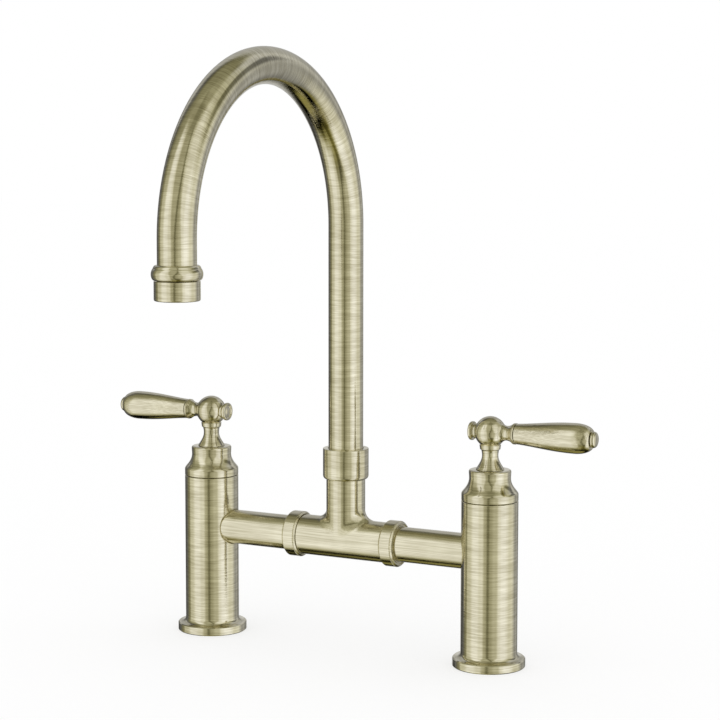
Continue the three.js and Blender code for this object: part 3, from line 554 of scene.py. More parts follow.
def studio_panels():
    """Light of the dome by direction: two broad white panels with a dark gap, a grey back and ceiling.

    Azimuth is 0 to the front and grows to the right, from -110 to 250 degrees. Each panel is a sum of
    smooth steps in azimuth that slide with elevation, faded towards the ceiling and the floor. A dark
    ring with a dim olive middle hangs low at the back, and a white glow at its horizon lights the rims. Dim
    parts in front and low down are olive, a painted reflection of the brass round them, and the rest of
    the back is neutral.
    """
    graph = Graph("studio_panels")
    place = graph.add("ShaderNodeTexCoord", {}, {}, output="Object")
    x, y, z = (graph.add("ShaderNodeSeparateXYZ", {}, {0: place}, output=k) for k in range(3))
    degrees = 180 / math.pi
    azimuth = graph.math("ARCTAN2", x, y * -1) * degrees
    azimuth = graph.add("ShaderNodeMath", {"operation": "WRAP"}, {0: azimuth, 1: 250.0, 2: -110.0})
    height = graph.math("ARCSINE", z * (1 / DOME_RADIUS)) * degrees
    depth = height * -1
    lift = (height + 6).at_least(0).at_most(42)
    deep = depth.between(28, 46)

    def away(turn, rise):
        """Angle in degrees from a direction."""
        turn, rise = math.radians(turn), math.radians(rise)
        toward = (math.sin(turn) * math.cos(rise), -math.cos(turn) * math.cos(rise), math.sin(rise))
        ray = graph.add("ShaderNodeVectorMath", {"operation": "NORMALIZE"}, {0: place})
        settings = {"operation": "DOT_PRODUCT"}
        facing = graph.add("ShaderNodeVectorMath", settings, {0: ray, 1: toward}, output="Value")
        return graph.math("ARCCOSINE", facing) * degrees

    pulled = azimuth + (depth - 10).at_least(0) * 0.4
    tilted = azimuth - lift * 0.45 - (depth - 24).at_least(0) * 0.6
    late = height.between(-14, 56) * 0.24
    left = (azimuth.stairs((-98, -82, 0.08), (-70, -58, 0.04), (-26, -15, -0.1))
            + pulled.between(-80, -73) * (0.26 - late) - azimuth.between(-24, 4) * deep * 0.12
            + (pulled - lift * 0.04).between(-59, -43) * (late + 0.18)
            - (azimuth + lift * 0.26).between(-5, 5) * 0.26 - tilted.between(10, 17) * 0.19)
    right = (tilted.stairs((19, 28, 0.16), (30, 44, 0.11)) * (1 - deep)
             + azimuth.between(38, 64) * deep * 0.39 + (azimuth + lift * 0.45).between(53, 64) * 0.25
             + azimuth.between(66, 80) * (1 - height.between(5, 25)) * 0.16
             + azimuth.stairs((89, 97, -0.13), (99, 112, -0.12), (129, 140, -0.18), (139, 151, -0.14))
             + height.between(-30, 0) * azimuth.stairs((151, 159, 0.11), (167, 177, -0.14))
             - azimuth.between(212, 226) * 0.1)
    panels = (left + right * (1 - height.between(0, 30) * 0.13)) * (1 - height.between(50, 66))
    panels = panels.at_least(-0.03) * (1 - depth.between(44, 72))
    panels = panels * (1 - azimuth.between(96, 150) * depth.between(34, 54) * 0.8)
    lamps = azimuth.window(-86, -62, -14, 16) * 0.08 + azimuth.window(56, 70, 118, 142) * 0.06 + 0.07
    dim_floor = azimuth.window(-50, -20, 14, 36) * depth.window(52, 62, 74, 84) * 0.15
    light = panels + height.between(50, 66) * lamps + dim_floor + 0.105 * (1 - depth.between(60, 76) * 0.5)
    far_end = (azimuth + height * 2).between(306, 332)
    light = light + azimuth.between(128, 146) * (1 - far_end) * height.window(4, 24, 46, 58) * 0.25
    light = light * (1 - azimuth.window(100, 122, 154, 163) * height.window(12, 23, 31, 37) * 0.68)
    light = light - azimuth.between(156, 180) * depth.between(-4, 22) * 0.08
    ring = away(-147, -64)
    light = light * ring.between(27, 34) + (1 - ring.between(12, 18)) * 0.19
    glow = 1 - away(-151.4, -5.8).between(13, 28)
    light = (light + glow * 0.24) * BRIGHTEST
    front = azimuth.window(-108, -86, 120, 150).at_least(height.between(44, 60))
    front = front.at_least(depth.between(44, 58)) * (1 - glow)
    # Painted reflection: dim light in front, low down and in the ring's middle is tinted olive, standing in
    # for the brass mirrored in the brass round it.
    tint = graph.mix((1 - light) * front, opaque((1, 1, 1)), opaque((1.06, 1, 0.5)))
    under = depth.between(40, 58) * (1 - light.between(0.08, 0.5))
    tint = graph.mix(under, tint, opaque((1.12, 1, 0.25)))
    tint = graph.mix(1 - ring.between(28, 34), tint, opaque((1.1, 1, 0.35)))
    colour = graph.mix(light, opaque((0, 0, 0)), tint)
    made = graph.finish(graph.add("ShaderNodeEmission", {}, {"Color": colour, "Strength": 1.0}))
    made.cycles.emission_sampling = "NONE"
    return made


def material(name):
    """A named material, made when it is first asked for."""
    found = bpy.data.materials.get(name)
    if found and found.get("faucet"):
        return found
    finish = bpy.context.scene.faucet_finish
    makers = {
        "brass_brushed_round": lambda n: brushed_brass(n, finish, "round"),
        "brass_brushed_along": lambda n: brushed_brass(n, finish, "along"),
        "brass_brushed_tee": lambda n: brushed_brass(n, finish, "tee"),
        "brass_machined": lambda n: raw_brass(n, finish),
        "rubber_black": lambda n: moulded(n, finish.rubber, 0.62, 4000, 0.3),
        "ceramic_white": lambda n: moulded(n, finish.ceramic, 0.14, 6000, 0.05),
        "nylon_white": lambda n: moulded(n, finish.nylon, 0.42, 2500, 0.15),
    }
    made = makers[name](name)
    made["faucet"] = True
    return made


# ---------------------------------------------------------------- pieces

SIDES = {
    "left": (-1, Axis((-PILLAR_X, BRIDGE_Y, 0))),
    "right": (1, Axis((PILLAR_X, BRIDGE_Y, 0), across=(-1, 0, 0))),
}


def add_piece(name, data, body, node, brushing="round"):
    """Puts a finished mesh in the scene for one node of the frame, which it replaces."""
    data.materials.append(material(f"brass_brushed_{brushing}"))
    piece = bpy.data.objects.new(name, data)
    bpy.context.scene.collection.objects.link(piece)
    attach(piece, body)
    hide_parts(node)
    return piece


def add_turned(name, outline, axis, body, node, brushing="round", sides=120, edge=EDGE):
    surface = Surface().grid(turned_grid(outline.rounded(edge), sides))
    return add_piece(name, surface.mesh(name, axis), body, node, brushing)


def across_pillar(side, height, outward):
    """Axis that leaves a pillar at a height: away from the tee for outward 1, towards it for -1."""
    sign, _ = SIDES[side]
    return Axis((sign * PILLAR_X, BRIDGE_Y, height), along=(sign * outward, 0, 0), across=(0, 0, 1))


class FAUCET_OT_pillars(bpy.types.Operator):
    """Foot and barrel of both pillars, with the pocket for the bridge leg and the waterway"""

    bl_idname = "faucet.pillars"
    bl_label = "Pillars"

    def execute(self, context):
        s = Millimetres(context.scene.faucet_sizes)
        sides, pocket, bore = 144, s.tube_radius + SLIP_GAP, s.tube_radius - s.tube_wall
        chamber, collar = s.barrel_radius - CHAMBER_WALL, s.barrel_radius - COLLAR_WALL
        ledge, seat = BARREL_TOP - VALVE_BAY, BRIDGE_Z - pocket - SEAT_CLEARANCE
        floor = math.sqrt(s.barrel_radius ** 2 - pocket ** 2) - 2 * SEAT_GAP
        outer_rows = BRIDGE_Z + np.linspace(-16, 16, 21)
        inner_rows = BRIDGE_Z + np.linspace(-11, 11, 9)
        outline = Outline(SOCKET_RADIUS, 0).line(
            (GASKET_INNER, 0), (GASKET_INNER, GASKET_DEPTH), (GASKET_OUTER, GASKET_DEPTH),
            (GASKET_OUTER, 0), (s.foot_radius - 0.6, 0), (s.foot_radius, 0.6),
            (s.foot_radius, s.foot_rim - 0.6), (s.foot_radius - 0.6, s.foot_rim),
        ).curve((s.barrel_radius, s.foot_rim), (s.barrel_radius, s.foot_rim + s.foot_flare))
        outline.line(
            *np.column_stack([np.full_like(outer_rows, s.barrel_radius), outer_rows]),
            (s.barrel_radius, BARREL_TOP - SEAM), (s.barrel_radius - SEAM, BARREL_TOP),
            (collar, BARREL_TOP), (collar, ledge), (chamber, ledge),
            *np.column_stack([np.full_like(inner_rows, chamber), inner_rows[::-1]]),
            (chamber, seat), (PASSAGE_RADIUS, seat), (PASSAGE_RADIUS, SOCKET_DEPTH),
            (SOCKET_RADIUS, SOCKET_DEPTH),
        )
        profile = outline.rounded(0.2)
        grid = turned_grid(profile, sides)

        def rows_at(radius, *heights):
            return [int(np.argmin(np.hypot(*(profile - (radius, height)).T))) for height in heights]

        outer = rows_at(s.barrel_radius, outer_rows[0], outer_rows[-1])
        inner = rows_at(chamber, inner_rows[-1], inner_rows[0])
        half, outer_port, inner_port = sides // 2, 22, 28
        for side, (_, axis) in SIDES.items():
            surface = Surface()
            surface.grid(grid[:outer[0] + 1])
            surface.grid(grid[outer[0]:outer[1] + 1],
                         hole=(0, outer[1] - outer[0], half - outer_port, half + outer_port))
            surface.grid(grid[outer[1]:inner[0] + 1])
            surface.grid(grid[inner[0]:inner[1] + 1],
                         hole=(0, inner[1] - inner[0], half - inner_port, half + inner_port))
            surface.grid(grid[inner[1]:])
            surface.grid(port_grid(s.barrel_radius, pocket, BRIDGE_Z, outer_port, outer_rows, sides, 8))
            surface.grid(port_grid(chamber, bore, BRIDGE_Z, inner_port, inner_rows, sides, 6))
            tunnel = circle_grid([("wall", s.barrel_radius, pocket), (floor, pocket), (floor, bore),
                                  ("wall", chamber, bore)], 128)
            tunnel[..., 2] += BRIDGE_Z
            surface.grid(tunnel)
            name = f"{side}_pillar_barrel"
            add_piece(name, surface.mesh(name, axis), "bridge", f"{side}_pillar_body")
        return {"FINISHED"}


class FAUCET_OT_bonnets(bpy.types.Operator):
    """Bonnets: a band that continues the barrel, an S-shaped shoulder and a waist under a flat cap"""

    bl_idname = "faucet.bonnets"
    bl_label = "Bonnets"

    def execute(self, context):
        s = Millimetres(context.scene.faucet_sizes)
        bottom = BARREL_TOP + SEAT_GAP
        shoulder = bottom + s.bonnet_band
        waist = shoulder + s.bonnet_ogee
        cavity = s.waist_radius - BONNET_SHELL
        spigot = s.barrel_radius - COLLAR_WALL - SLIP_GAP
        low = BARREL_TOP - VALVE_BAY + FLANGE_RISE + SEAT_GAP
        cap, neck = s.waist_radius + 0.2, NECK_RADIUS + SLIP_GAP
        outline = Outline(cavity, low).line(
            (spigot, low), (spigot, bottom), (s.barrel_radius - SEAM, bottom),
            (s.barrel_radius, bottom + SEAM), (s.barrel_radius, shoulder),
        ).curve(
            (s.barrel_radius, shoulder + 0.19 * s.bonnet_ogee),
            (s.waist_radius, shoulder + 0.42 * s.bonnet_ogee),
            (s.waist_radius, waist), steps=24,
        ).line((cap, BONNET_TOP - 1.4)).curve((cap, BONNET_TOP), (cap - 1.4, BONNET_TOP), steps=8).line(
            (neck, BONNET_TOP), (neck, BONNET_TOP - BONNET_ROOF), (cavity, BONNET_TOP - BONNET_ROOF))
        for side, (_, axis) in SIDES.items():
            add_turned(f"{side}_bonnet_shell", outline, axis, "bridge", f"{side}_bonnet", sides=144)
        return {"FINISHED"}


class FAUCET_OT_handles(bpy.types.Operator):
    """Handle hubs with their ball, and the knob, neck, grip and finial that screw on"""

    bl_idname = "faucet.handles"
    bl_label = "Handles"

    def hub(self, s):
        """Foot, sweep in to the waist, a tapered band, and the ball with a bore for both shanks."""
        bottom, ring = BONNET_TOP + TURN_GAP, BALL_Z - 7.75
        tip = STEM_TIP_RADIUS + SLIP_GAP
        start = -math.acos(6.1 / s.ball_radius)
        crown = BALL_Z + SHANK_RADIUS + 2 * SLIP_GAP
        return Outline(tip, bottom).line((8.7, bottom), (8.6, bottom + 0.35)).curve(
            (6.9, bottom + 3.0), (s.hub_waist, bottom + 5.6), (s.hub_waist, bottom + 8.6), steps=30,
        ).curve((s.hub_waist, ring - 5.0), (5.3, ring - 3.4), (5.8, ring - 3.0), steps=12).line(
            (6.25, ring - 2.7), (6.6, ring - 0.2), (6.5, ring), (6.1, ring),
        ).arc((0, BALL_Z), s.ball_radius, start, math.pi / 2, steps=48).line((0, crown), (tip, crown))

    def neck(self, s):
        """Hollow neck that runs out of the ball, and the ring before the grip, along the lever's axis."""
        seat = s.ball_radius + TOUCH
        tip = STEM_TIP_RADIUS + SLIP_GAP
        root = math.sqrt(seat ** 2 - 6.4 ** 2)
        return Outline(0, tip).line((SHANK_RADIUS, tip)).arc(
            (0, 0), seat, math.acos(SHANK_RADIUS / seat), math.acos(6.4 / seat), steps=10,
        ).curve((5.3, root + 0.95), (4.5, root + 2.2), (4.5, 11.0), steps=16).curve(
            (4.5, 13.0), (5.4, 14.4), (6.4, 15.8), steps=20).line(
            (6.45, 16.0), (6.1, 16.15), (6.1, 16.35), (6.5, 16.5), (6.5, 17.0)).curve(
            (6.5, RING_END), (6.0, RING_END), steps=6).line(
            (SHANK_RADIUS, RING_END), (SHANK_RADIUS, SHANK_END), (0, SHANK_END))

    def grip(self, s):
        """Grip: swells slowly to a belly at 38 mm, then rounds in."""
        start, bore, deepest = GRIP_START, SHANK_RADIUS + SLIP_GAP, SHANK_END + SEAT_GAP
        belly, end = start + 38, start + s.grip_length
        socket = end - STUD_DEPTH - SEAT_GAP
        return Outline(bore, start).line((6.1, start)).curve(
            (6.3, start), (6.3, start + 0.3), steps=4).curve(
            (6.9, start + 11.4), (s.grip_belly, belly - 15.2), (s.grip_belly, belly), steps=40,
        ).curve(
            (s.grip_belly, belly + 0.45 * (end - belly)), (8.0, end - 1.5), (5.8, end), steps=24,
        ).line((2.1, end), (2.1, socket), (0, socket), (0, deepest), (bore, deepest))

    def finial(self, s):
        """One bead with a domed face at the lever's end, on a stud in the grip."""
        end = GRIP_START + s.grip_length
        start, stud, tip = end + SEAT_GAP, end - STUD_DEPTH, FINIAL_TIP
        return Outline(0, stud).line((1.8, stud), (1.8, start), (4.2, start)).curve(
            (4.9, start), (4.9, start + 0.9), steps=6).curve(
            (4.9, tip - 0.5), (3.2, tip), (0, tip), steps=16)

    def knob(self, s):
        """Knob behind the ball: a ring, a neck and a disc with a rounded rim and a hollow face."""
        seat = s.ball_radius + TOUCH
        tip = STEM_TIP_RADIUS + SLIP_GAP
        root = math.sqrt(seat ** 2 - 4.6 ** 2)
        back, face = root + 2.3, root + 4.5
        return Outline(0, tip).line((SHANK_RADIUS, tip)).arc(
            (0, 0), seat, math.acos(SHANK_RADIUS / seat), math.acos(4.6 / seat), steps=6,
        ).line((4.6, root + 1.0)).curve((4.6, root + 1.4), (4.1, root + 1.5), steps=5).line(
            (4.1, back - 0.1), (4.9, back)).curve((5.8, back), (5.8, back + 0.9), steps=8).line(
            (5.8, face - 0.9)).curve((5.8, face), (4.8, face), steps=8).curve(
            (4.2, face), (4.0, face - 0.7), (3.4, face - 0.75), steps=8).curve(
            (2.2, face - 0.8), (1.4, face - 0.35), (0, face - 0.35), steps=8)

    def execute(self, context):
        s = Millimetres(context.scene.faucet_sizes)
        for side, (_, axis) in SIDES.items():
            body = f"{side}_handle"
            lever, behind = across_pillar(side, BALL_Z, 1), across_pillar(side, BALL_Z, -1)
            add_turned(f"{side}_hub_ball", self.hub(s), axis, body, f"{side}_handle_hub", sides=96)
            add_turned(f"{side}_knob_disc", self.knob(s), behind, body, f"{side}_hub_knob", sides=80)
            add_turned(f"{side}_neck_ring", self.neck(s), lever, body, f"{side}_lever_neck", sides=80)
            add_turned(
                f"{side}_grip_handle", self.grip(s), lever, body, f"{side}_lever_grip", "along", sides=96)
            add_turned(
                f"{side}_finial_button", self.finial(s), lever, body, f"{side}_lever_finial", sides=72)
        return {"FINISHED"}


class FAUCET_OT_bridge(bpy.types.Operator):
    """Bridge legs, union nuts, and the tee with its rolled fillet"""

    bl_idname = "faucet.bridge"
    bl_label = "Bridge and tee"

    def leg(self, s):
        """Plain tube from the pillar's wall to a flange inside the tee's end."""
        bore, flange = s.tube_radius - s.tube_wall, s.tube_radius + LEG_FLANGE
        seat = math.sqrt(s.barrel_radius ** 2 - (s.tube_radius + SLIP_GAP) ** 2) - SEAT_GAP
        return Outline(bore, seat).line(
            (s.tube_radius, seat), (s.tube_radius, LEG_END - FLANGE_LENGTH),
            (flange, LEG_END - FLANGE_LENGTH), (flange, LEG_END), (bore, LEG_END))

    def nut(self, s):
        """Ring over the tee's end: chamfers, a groove round the leg and a lip over its flange."""
        low, high = cad_box("right_union_nut")
        start, end = PILLAR_X - high[0] - 0.2, PILLAR_X - low[0] + 0.4
        pocket, bore, mouth = s.tube_radius + 2 * TOUCH, s.tube_radius + 1.9, s.tube_radius + 2.0
        ridge, crease, chamfered = s.nut_radius - 0.2, s.nut_radius - 0.45, s.nut_radius - 1.1
        lip = PILLAR_X - high[0] + UNION_LIP
        return Outline(pocket, start + 0.1).line(
            (pocket + 0.7, start + 0.1), (pocket + 0.9, start + 0.9), (s.nut_radius - 1.9, start + 0.9),
            (s.nut_radius - 1.7, start), (chamfered, start), (ridge, start + 0.9), (crease, start + 1.1),
            (s.nut_radius, start + 1.3), (s.nut_radius, end - 1.3), (crease, end - 1.1), (ridge, end - 0.9),
            (chamfered, end), (mouth, end), (mouth, end - 0.8), (bore, end - 0.8), (bore, lip),
            (pocket, lip))

    def tee(self, s):
        """Run of radius R and slightly thinner riser of radius r, with a rolled fillet between them.

        For the angle a round the riser, a ball of radius p rolls with its centre at
        ((r + p) cos a, (r + p) sin a, h), h = sqrt((R + p)^2 - (r + p)^2 sin^2 a). One line of the grid
        goes down the riser to (r cos a, r sin a, h), round the ball to the run, where the angle from the
        top is f with sin f = (r + p) sin a / (R + p), and out along the run to its end. Hoops from f's
        limit round the underside close the run. The ball grows to the front and back,
        p = fillet + growth (sin a)^8, so that the riser flattens into the run there.
        """
        radius, riser_radius = s.tube_radius + RUN_OVER, s.tube_radius + RISER_OVER
        half = cad_radius("tee_body")
        riser = float(cad_box("tee_body")[1][2]) - BRIDGE_Z
        bore = s.tube_radius - s.tube_wall
        count, edge, crossing = 64, 0.4, 11.0
        a = np.linspace(-math.pi / 2, math.pi / 2, count + 1)
        cosine, sine = np.cos(a), np.sin(a)
        cosine[[0, -1]] = 0
        rolled = s.tee_fillet + FILLET_GROWTH * sine ** 8
        zero = np.zeros_like(a)
        out_x, out_y = (riser_radius + rolled) * cosine, (riser_radius + rolled) * sine
        rise = np.sqrt((radius + rolled) ** 2 - out_y ** 2)
        run_sine, run_cosine = out_y / (radius + rolled), rise / (radius + rolled)
        run_angle = np.arctan2(run_sine, run_cosine)

        def upright(r, z):
            return np.stack([r * cosine, r * sine, z + zero], axis=-1)

        def lying(x, r):
            return np.stack([x + zero, r * run_sine, r * run_cosine], axis=-1)

        def hoop(x, r, turn):
            return np.stack([np.full(len(turn), x), r * np.sin(turn), r * np.cos(turn)], axis=-1)

        centre = np.stack([out_x, out_y, rise], axis=-1)
        from_riser = np.stack([-rolled * cosine, -rolled * sine, zero], axis=-1)
        from_run = np.stack([zero, -rolled * run_sine, -rolled * run_cosine], axis=-1)
        sweep = np.arccos(np.clip((from_riser * from_run).sum(-1) / rolled ** 2, -1, 1))
        safe = np.where(np.sin(sweep) < 1e-9, 1, np.sin(sweep))

        def rolled_row(t):
            first = np.where(sweep < 1e-6, 1 - t, np.sin((1 - t) * sweep) / safe)
            second = np.where(sweep < 1e-6, t, np.sin(t * sweep) / safe)
            return centre + first[:, None] * from_riser + second[:, None] * from_run

        quarter = np.linspace(0, math.pi / 2, 5)[1:]
        rounding = list(zip(edge * (1 - np.cos(quarter)), edge * np.sin(quarter)))
        rim = [upright(riser_radius - inset, riser - edge + reach) for inset, reach in rounding[::-1]]
        end = [lying(half - edge + reach, radius - inset) for inset, reach in rounding]
        rows_down = [upright(riser_radius, rise + (riser - edge - rise) * t) for t in np.linspace(1, 0, 25)]
        rows_round = [rolled_row(t) for t in np.linspace(0, 1, 17)[1:-1]]
        rows_out = [lying(out_x + (half - edge - out_x) * t, radius) for t in np.linspace(0, 1, 13)]
        upper = np.array(rim + rows_down + rows_round + rows_out + end)
        share = np.concatenate([
            np.ones(len(rim) + len(rows_down)), np.linspace(1, 0, len(rows_round) + 2)[1:-1],
            np.zeros(len(rows_out) + len(end))])
        # Where the fillet fades out at the sides, the brushing turns over a soft band instead of at a line.
        share = np.minimum(share[:, None], np.clip((upper[..., 2] - 4) / 14, 0, 1))
        surface, shares = Surface(), []

        def add(grid, share, hole=None):
            surface.grid(grid, hole)
            shares.append(np.broadcast_to(share, grid.shape[:2]).ravel())

        flip = np.array([-1, 1, 1])
        add(upper, share)
        add(upper * flip, share)
        low_turn = np.linspace(run_angle[-1], 2 * math.pi - run_angle[-1], count + 1)
        line = [(x, radius) for x in np.linspace(0, 1, 13) * (half - edge)]
        line += [(half - edge + reach, radius - inset) for inset, reach in rounding]
        lower = np.array([hoop(x, r, low_turn) for x, r in line])
        add(lower, 0.0)
        add(lower * flip, 0.0)
        # Ends of the run and its bore, with the throat up to the riser's socket.
        around = angles(2 * count)
        half_count = count // 2
        outside = np.concatenate([
            low_turn[half_count:] - 2 * math.pi, run_angle[1:-1], low_turn[:half_count + 1]])
        rows = np.linspace(-crossing, crossing, 15)
        port = 25
        for sign in (-1, 1):
            add(np.array([hoop(sign * half, radius - edge, outside), hoop(sign * half, bore, around),
                          hoop(sign * crossing, bore, around)]), 0.0)
        add(np.array([hoop(x, bore, around) for x in rows]), 0.0, hole=(0, 14, count - port, count + port))
        add(port_grid(bore, THROAT_RADIUS, 0, port, rows, 2 * count, 6)[..., [2, 1, 0]], 0.0)
        turn = np.linspace(0, 2 * math.pi, 2 * count + 1)
        y, x = THROAT_RADIUS * np.cos(turn), THROAT_RADIUS * np.sin(turn)
        floor = riser - SPIGOT_LENGTH - SEAT_GAP
        throat = [np.stack([x, y, np.sqrt(bore ** 2 - y ** 2)], axis=-1)]
        for r, z in ((THROAT_RADIUS, floor), (RISER_BORE, floor), (RISER_BORE, riser),
                     (riser_radius - edge, riser)):
            throat.append(np.stack([r * np.sin(turn), r * np.cos(turn), np.full(len(turn), z)], axis=-1))
        add(np.array(throat), 1.0)
        return surface, shares

    def execute(self, context):
        s = Millimetres(context.scene.faucet_sizes)
        for side in SIDES:
            axis = across_pillar(side, BRIDGE_Z, -1)
            add_turned(
                f"{side}_leg_tube", self.leg(s), axis, "bridge", f"{side}_bridge_leg", "along", edge=0.15)
            add_turned(
                f"{side}_nut_ring", self.nut(s), axis, "bridge", f"{side}_union_nut", "along", edge=0.12)
        surface, shares = self.tee(s)
        data = surface.mesh("tee_casting", Axis((0, BRIDGE_Y, BRIDGE_Z)), shares=shares)
        add_piece("tee_casting", data, "bridge", "tee_body", "tee")
        return {"FINISHED"}


class FAUCET_OT_spout(bpy.types.Operator):
    """Spout nut, gooseneck tube, outlet collar and aerator housing"""

    bl_idname = "faucet.spout"
    bl_label = "Spout"

    def nut(self, s):
        """Straight band with a rounded lower corner and a lip over the tube."""
        low, high = cad_box("spout_nut")
        bottom, top = low[2], high[2]
        bore, pocket = s.tube_radius + 1.9, s.tube_radius + SLIP_GAP
        return Outline(bore, bottom).line((bore + 0.4, bottom)).curve(
            (s.nut_radius, bottom + 0.69), (s.nut_radius, bottom + 2.3), steps=10,
        ).line((s.nut_radius, top - NUT_EDGE)).curve(
            (s.nut_radius, top), (s.nut_radius - NUT_EDGE, top), steps=5,
        ).line((pocket, top), (pocket, top - NUT_LIP), (bore, top - NUT_LIP))

    def gooseneck(self, s):
        """A circle carried along the centreline: a rise, a half circle of the arch's radius, a short drop.

        At the angle b round the arch the centre is (0, -A (1 - cos b), z0 + A sin b) and the section is
        spanned by X and (0, cos b, sin b). A second circle close to each end keeps the wall's shading
        straight. The turned place of a point is its section place and its distance along.
        """
        arch = s.arch_radius
        start, end = TUBE_START, TUBE_END
        crown = TUBE_TOP - arch - s.tube_radius
        b = np.concatenate([[0.0, 0.0], np.linspace(0, math.pi, 145), [math.pi, math.pi]])
        lift = np.zeros_like(b)
        lift[:2] = start - crown, start - crown + EDGE
        lift[-2:] = end - crown + EDGE, end - crown
        y, z = -arch * (1 - np.cos(b)), crown + arch * np.sin(b) + lift
        along = arch * b + (crown - start)
        along[:2] += lift[:2]
        along[-2:] -= lift[-2:]
        around = angles(96)
        outer, inner = s.tube_radius, s.tube_radius - s.tube_wall
        stations = np.arange(len(b))
        index = np.concatenate([stations, stations[::-1], [0]])
        radius = np.repeat([outer, inner, outer], [len(b), len(b), 1])[:, None]
        bend = b[index][:, None]
        side, lean = radius * np.cos(around), radius * np.sin(around)
        y_rows, z_rows = y[index][:, None], z[index][:, None]
        grid = np.stack([side, y_rows + lean * np.cos(bend), z_rows + lean * np.sin(bend)], axis=-1)
        place = np.stack([side, lean, np.broadcast_to(along[index][:, None], side.shape)], axis=-1)
        return grid, place

    def collar(self, s):
        """One ovoid bead with a hollow shoulder under its top, and a ledge for the tube inside."""
        low, high = cad_box("outlet_collar")
        bottom, top = low[2] + COLLAR_RISE, high[2]
        pocket, bore = s.tube_radius + SLIP_GAP, s.tube_radius - s.tube_wall
        ledge, inside = TUBE_END - SEAT_GAP, HOUSING_SPIGOT_RADIUS + SLIP_GAP
        return Outline(inside, bottom).line((s.housing_radius - 0.1, bottom)).curve(
            (s.bead_radius - 0.5, bottom + 0.3), (s.bead_radius, bottom + 1.9), (s.bead_radius, top - 5.0),
            steps=16,
        ).curve((s.bead_radius, top - 3.6), (13.9, top - 2.5), (13.4, top - 1.9), steps=14).curve(
            (13.2, top - 1.5), (12.9, top - 0.2), (11.9, top), steps=12).line(
            (s.tube_radius + TOUCH, top), (s.tube_radius + TOUCH, top - 1.2), (pocket, top - 1.5),
            (pocket, ledge), (bore, ledge), (bore, ledge - 1.2), (inside, ledge - 1.2))

    def housing(self, s):
        """Smooth barrel screwed into the collar, with a lip under the insert."""
        low, high = cad_box("aerator_housing")
        bottom, lip_top = low[2] + 0.5, low[2] + HOUSING_LIP
        top = float(cad_box("outlet_collar")[0][2]) + COLLAR_RISE - SEAT_GAP
        bore = HOUSING_SPIGOT_RADIUS - HOUSING_WALL
        lip = bore - 0.8
        return Outline(lip, bottom).line((s.housing_radius - 1.2, bottom)).curve(
            (s.housing_radius, bottom), (s.housing_radius, bottom + 1.2), steps=8,
        ).line(
            (s.housing_radius, top - 0.2), (s.housing_radius - 0.2, top), (HOUSING_SPIGOT_RADIUS, top),
            (HOUSING_SPIGOT_RADIUS, high[2]), (bore, high[2]), (bore, lip_top), (lip, lip_top))

    def execute(self, context):
        s = Millimetres(context.scene.faucet_sizes)
        rise, outlet = Axis((0, BRIDGE_Y, 0)), Axis((0, OUTLET_Y, 0))
        add_turned("spout_nut_ring", self.nut(s), rise, "bridge", "spout_nut")
        grid, place = self.gooseneck(s)
        surface = Surface().grid(grid)
        data = surface.mesh("gooseneck", rise, turned=[place.reshape(-1, 3)])
        add_piece("gooseneck", data, "spout", "spout_tube")
        add_turned("outlet_bead", self.collar(s), outlet, "spout", "outlet_collar")
        add_turned("aerator_barrel", self.housing(s), outlet, "spout", "aerator_housing")
        return {"FINISHED"}


class FAUCET_OT_inner(bpy.types.Operator):
    """Materials of the valves, seals, spigot and aerator, which keep the frame's own meshes"""

    bl_idname = "faucet.inner"
    bl_label = "Inner pieces"

    def execute(self, context):
        finishes = {"raw_brass": "brass_machined", "black_rubber": "rubber_black",
                    "white_ceramic": "ceramic_white", "white_nylon": "nylon_white"}
        for row in frame["record"]["subparts"]:
            finish = finishes.get(row["material_slot"])
            if finish:
                materials = frame["nodes"][row["node"]].data.materials
                materials.clear()
                materials.append(material(finish))
        return {"FINISHED"}


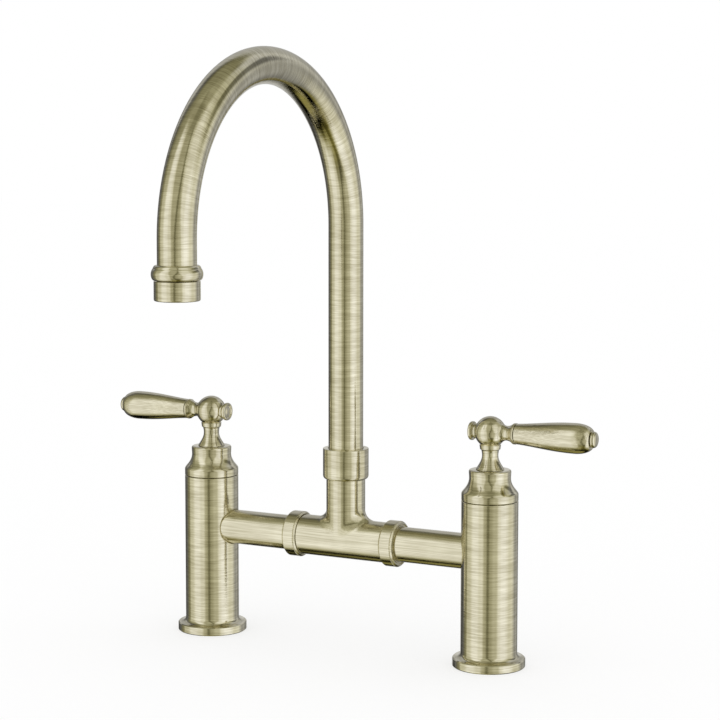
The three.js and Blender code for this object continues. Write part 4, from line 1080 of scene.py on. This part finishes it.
class FAUCET_OT_stage(bpy.types.Operator):
    """Floor, white world, the grey panels of the studio that the brass mirrors, and the camera"""

    bl_idname = "faucet.stage"
    bl_label = "Stage"

    def execute(self, context):
        scene = context.scene
        self.world(scene)
        self.floor(context)
        self.tent()
        self.camera(scene)
        return {"FINISHED"}

    def floor(self, context):
        """Flat square on the deck plane. Metal mirrors the studio's panels in place of it."""
        edge = np.linspace(-6, 6, 13) / MM
        x, y = np.meshgrid(edge, edge, indexing="ij")
        plane = np.stack([x, y, np.zeros_like(x)], axis=-1)
        mesh = Surface().grid(plane).mesh("floor", Axis((0, 0, 0)))
        graph = Graph("floor_paper")
        place = graph.add("ShaderNodeTexCoord", {}, {}, output="Object")
        fibre = graph.noise(graph.scaled(place, (900, 900, 900)), detail=3.0)
        colour = opaque(context.scene.faucet_finish.backdrop)
        shade = graph.mix(fibre * 0.02, colour, opaque((0.9, 0.9, 0.9)))
        paper = graph.add("ShaderNodeBsdfDiffuse", {}, {"Color": shade})
        white = graph.add("ShaderNodeEmission", {}, {"Color": shade, "Strength": 1.0})
        shader = graph.add("ShaderNodeMixShader", {}, {0: PAPER_GLOW, 1: paper, 2: white})
        mesh.materials.append(graph.finish(shader))
        piece = bpy.data.objects.new("floor", mesh)
        bpy.context.scene.collection.objects.link(piece)
        piece.visible_glossy = False

    def tent(self):
        """Far dome of white and grey panels round the faucet, for mirrored and refracted rays only."""
        radius = DOME_RADIUS / MM
        height = np.linspace(-math.pi / 2, math.pi / 2, 33)
        profile = radius * np.column_stack([np.cos(height), np.sin(height)])
        mesh = Surface().grid(turned_grid(profile, 64)).mesh("studio_tent", Axis((0, 0, 0)))
        mesh.materials.append(studio_panels())
        piece = bpy.data.objects.new("studio_tent", mesh)
        bpy.context.scene.collection.objects.link(piece)
        piece.visible_camera = piece.visible_diffuse = False
        piece.visible_shadow = piece.visible_volume_scatter = False

    def world(self, scene):
        world = bpy.data.worlds.new("studio")
        world.use_nodes = True
        world.node_tree.nodes["Background"].inputs["Color"].default_value = (1, 1, 1, 1)
        scene.world = world

    def camera(self, scene):
        """Camera at a fitted place, turned by its azimuth and pitched down."""
        lens = bpy.data.cameras.new("photo_camera")
        lens.lens, lens.sensor_width = LENS, 36
        lens.shift_x, lens.shift_y = LENS_SHIFT
        lens.clip_start, lens.clip_end = 0.01, 50
        camera = bpy.data.objects.new("photo_camera", lens)
        scene.collection.objects.link(camera)
        camera.location = CAMERA_PLACE
        camera.rotation_euler = (math.radians(90 - CAMERA_PITCH), 0, math.radians(CAMERA_TURN))
        scene.camera = camera


class FAUCET_PT_panel(bpy.types.Panel):
    """Lists the pieces of the faucet and its sizes"""

    bl_label = "Bridge faucet"
    bl_idname = "FAUCET_PT_panel"
    bl_space_type = "VIEW_3D"
    bl_region_type = "UI"
    bl_category = "Faucet"

    def draw(self, context):
        layout = self.layout
        for operator in OPERATORS:
            layout.operator(operator.bl_idname)
        for group in (context.scene.faucet_sizes, context.scene.faucet_finish):
            for name in group.__annotations__:
                layout.prop(group, name)


OPERATORS = (
    FAUCET_OT_pillars, FAUCET_OT_bonnets, FAUCET_OT_handles, FAUCET_OT_bridge, FAUCET_OT_spout,
    FAUCET_OT_inner, FAUCET_OT_stage,
)
CLASSES = (FaucetSizes, FaucetFinish, *OPERATORS, FAUCET_PT_panel)


def register():
    for cls in CLASSES:
        bpy.utils.register_class(cls)
    bpy.types.Scene.faucet_sizes = PointerProperty(type=FaucetSizes)
    bpy.types.Scene.faucet_finish = PointerProperty(type=FaucetFinish)


def unregister():
    del bpy.types.Scene.faucet_finish
    del bpy.types.Scene.faucet_sizes
    for cls in reversed(CLASSES):
        bpy.utils.unregister_class(cls)


def main():
    register()
    bpy.context.scene.view_settings.view_transform = "Standard"
    bpy.ops.faucet.pillars()
    bpy.ops.faucet.bonnets()
    bpy.ops.faucet.handles()
    bpy.ops.faucet.bridge()
    bpy.ops.faucet.spout()
    bpy.ops.faucet.inner()
    bpy.ops.faucet.stage()


if __name__ == "__main__":
    main()
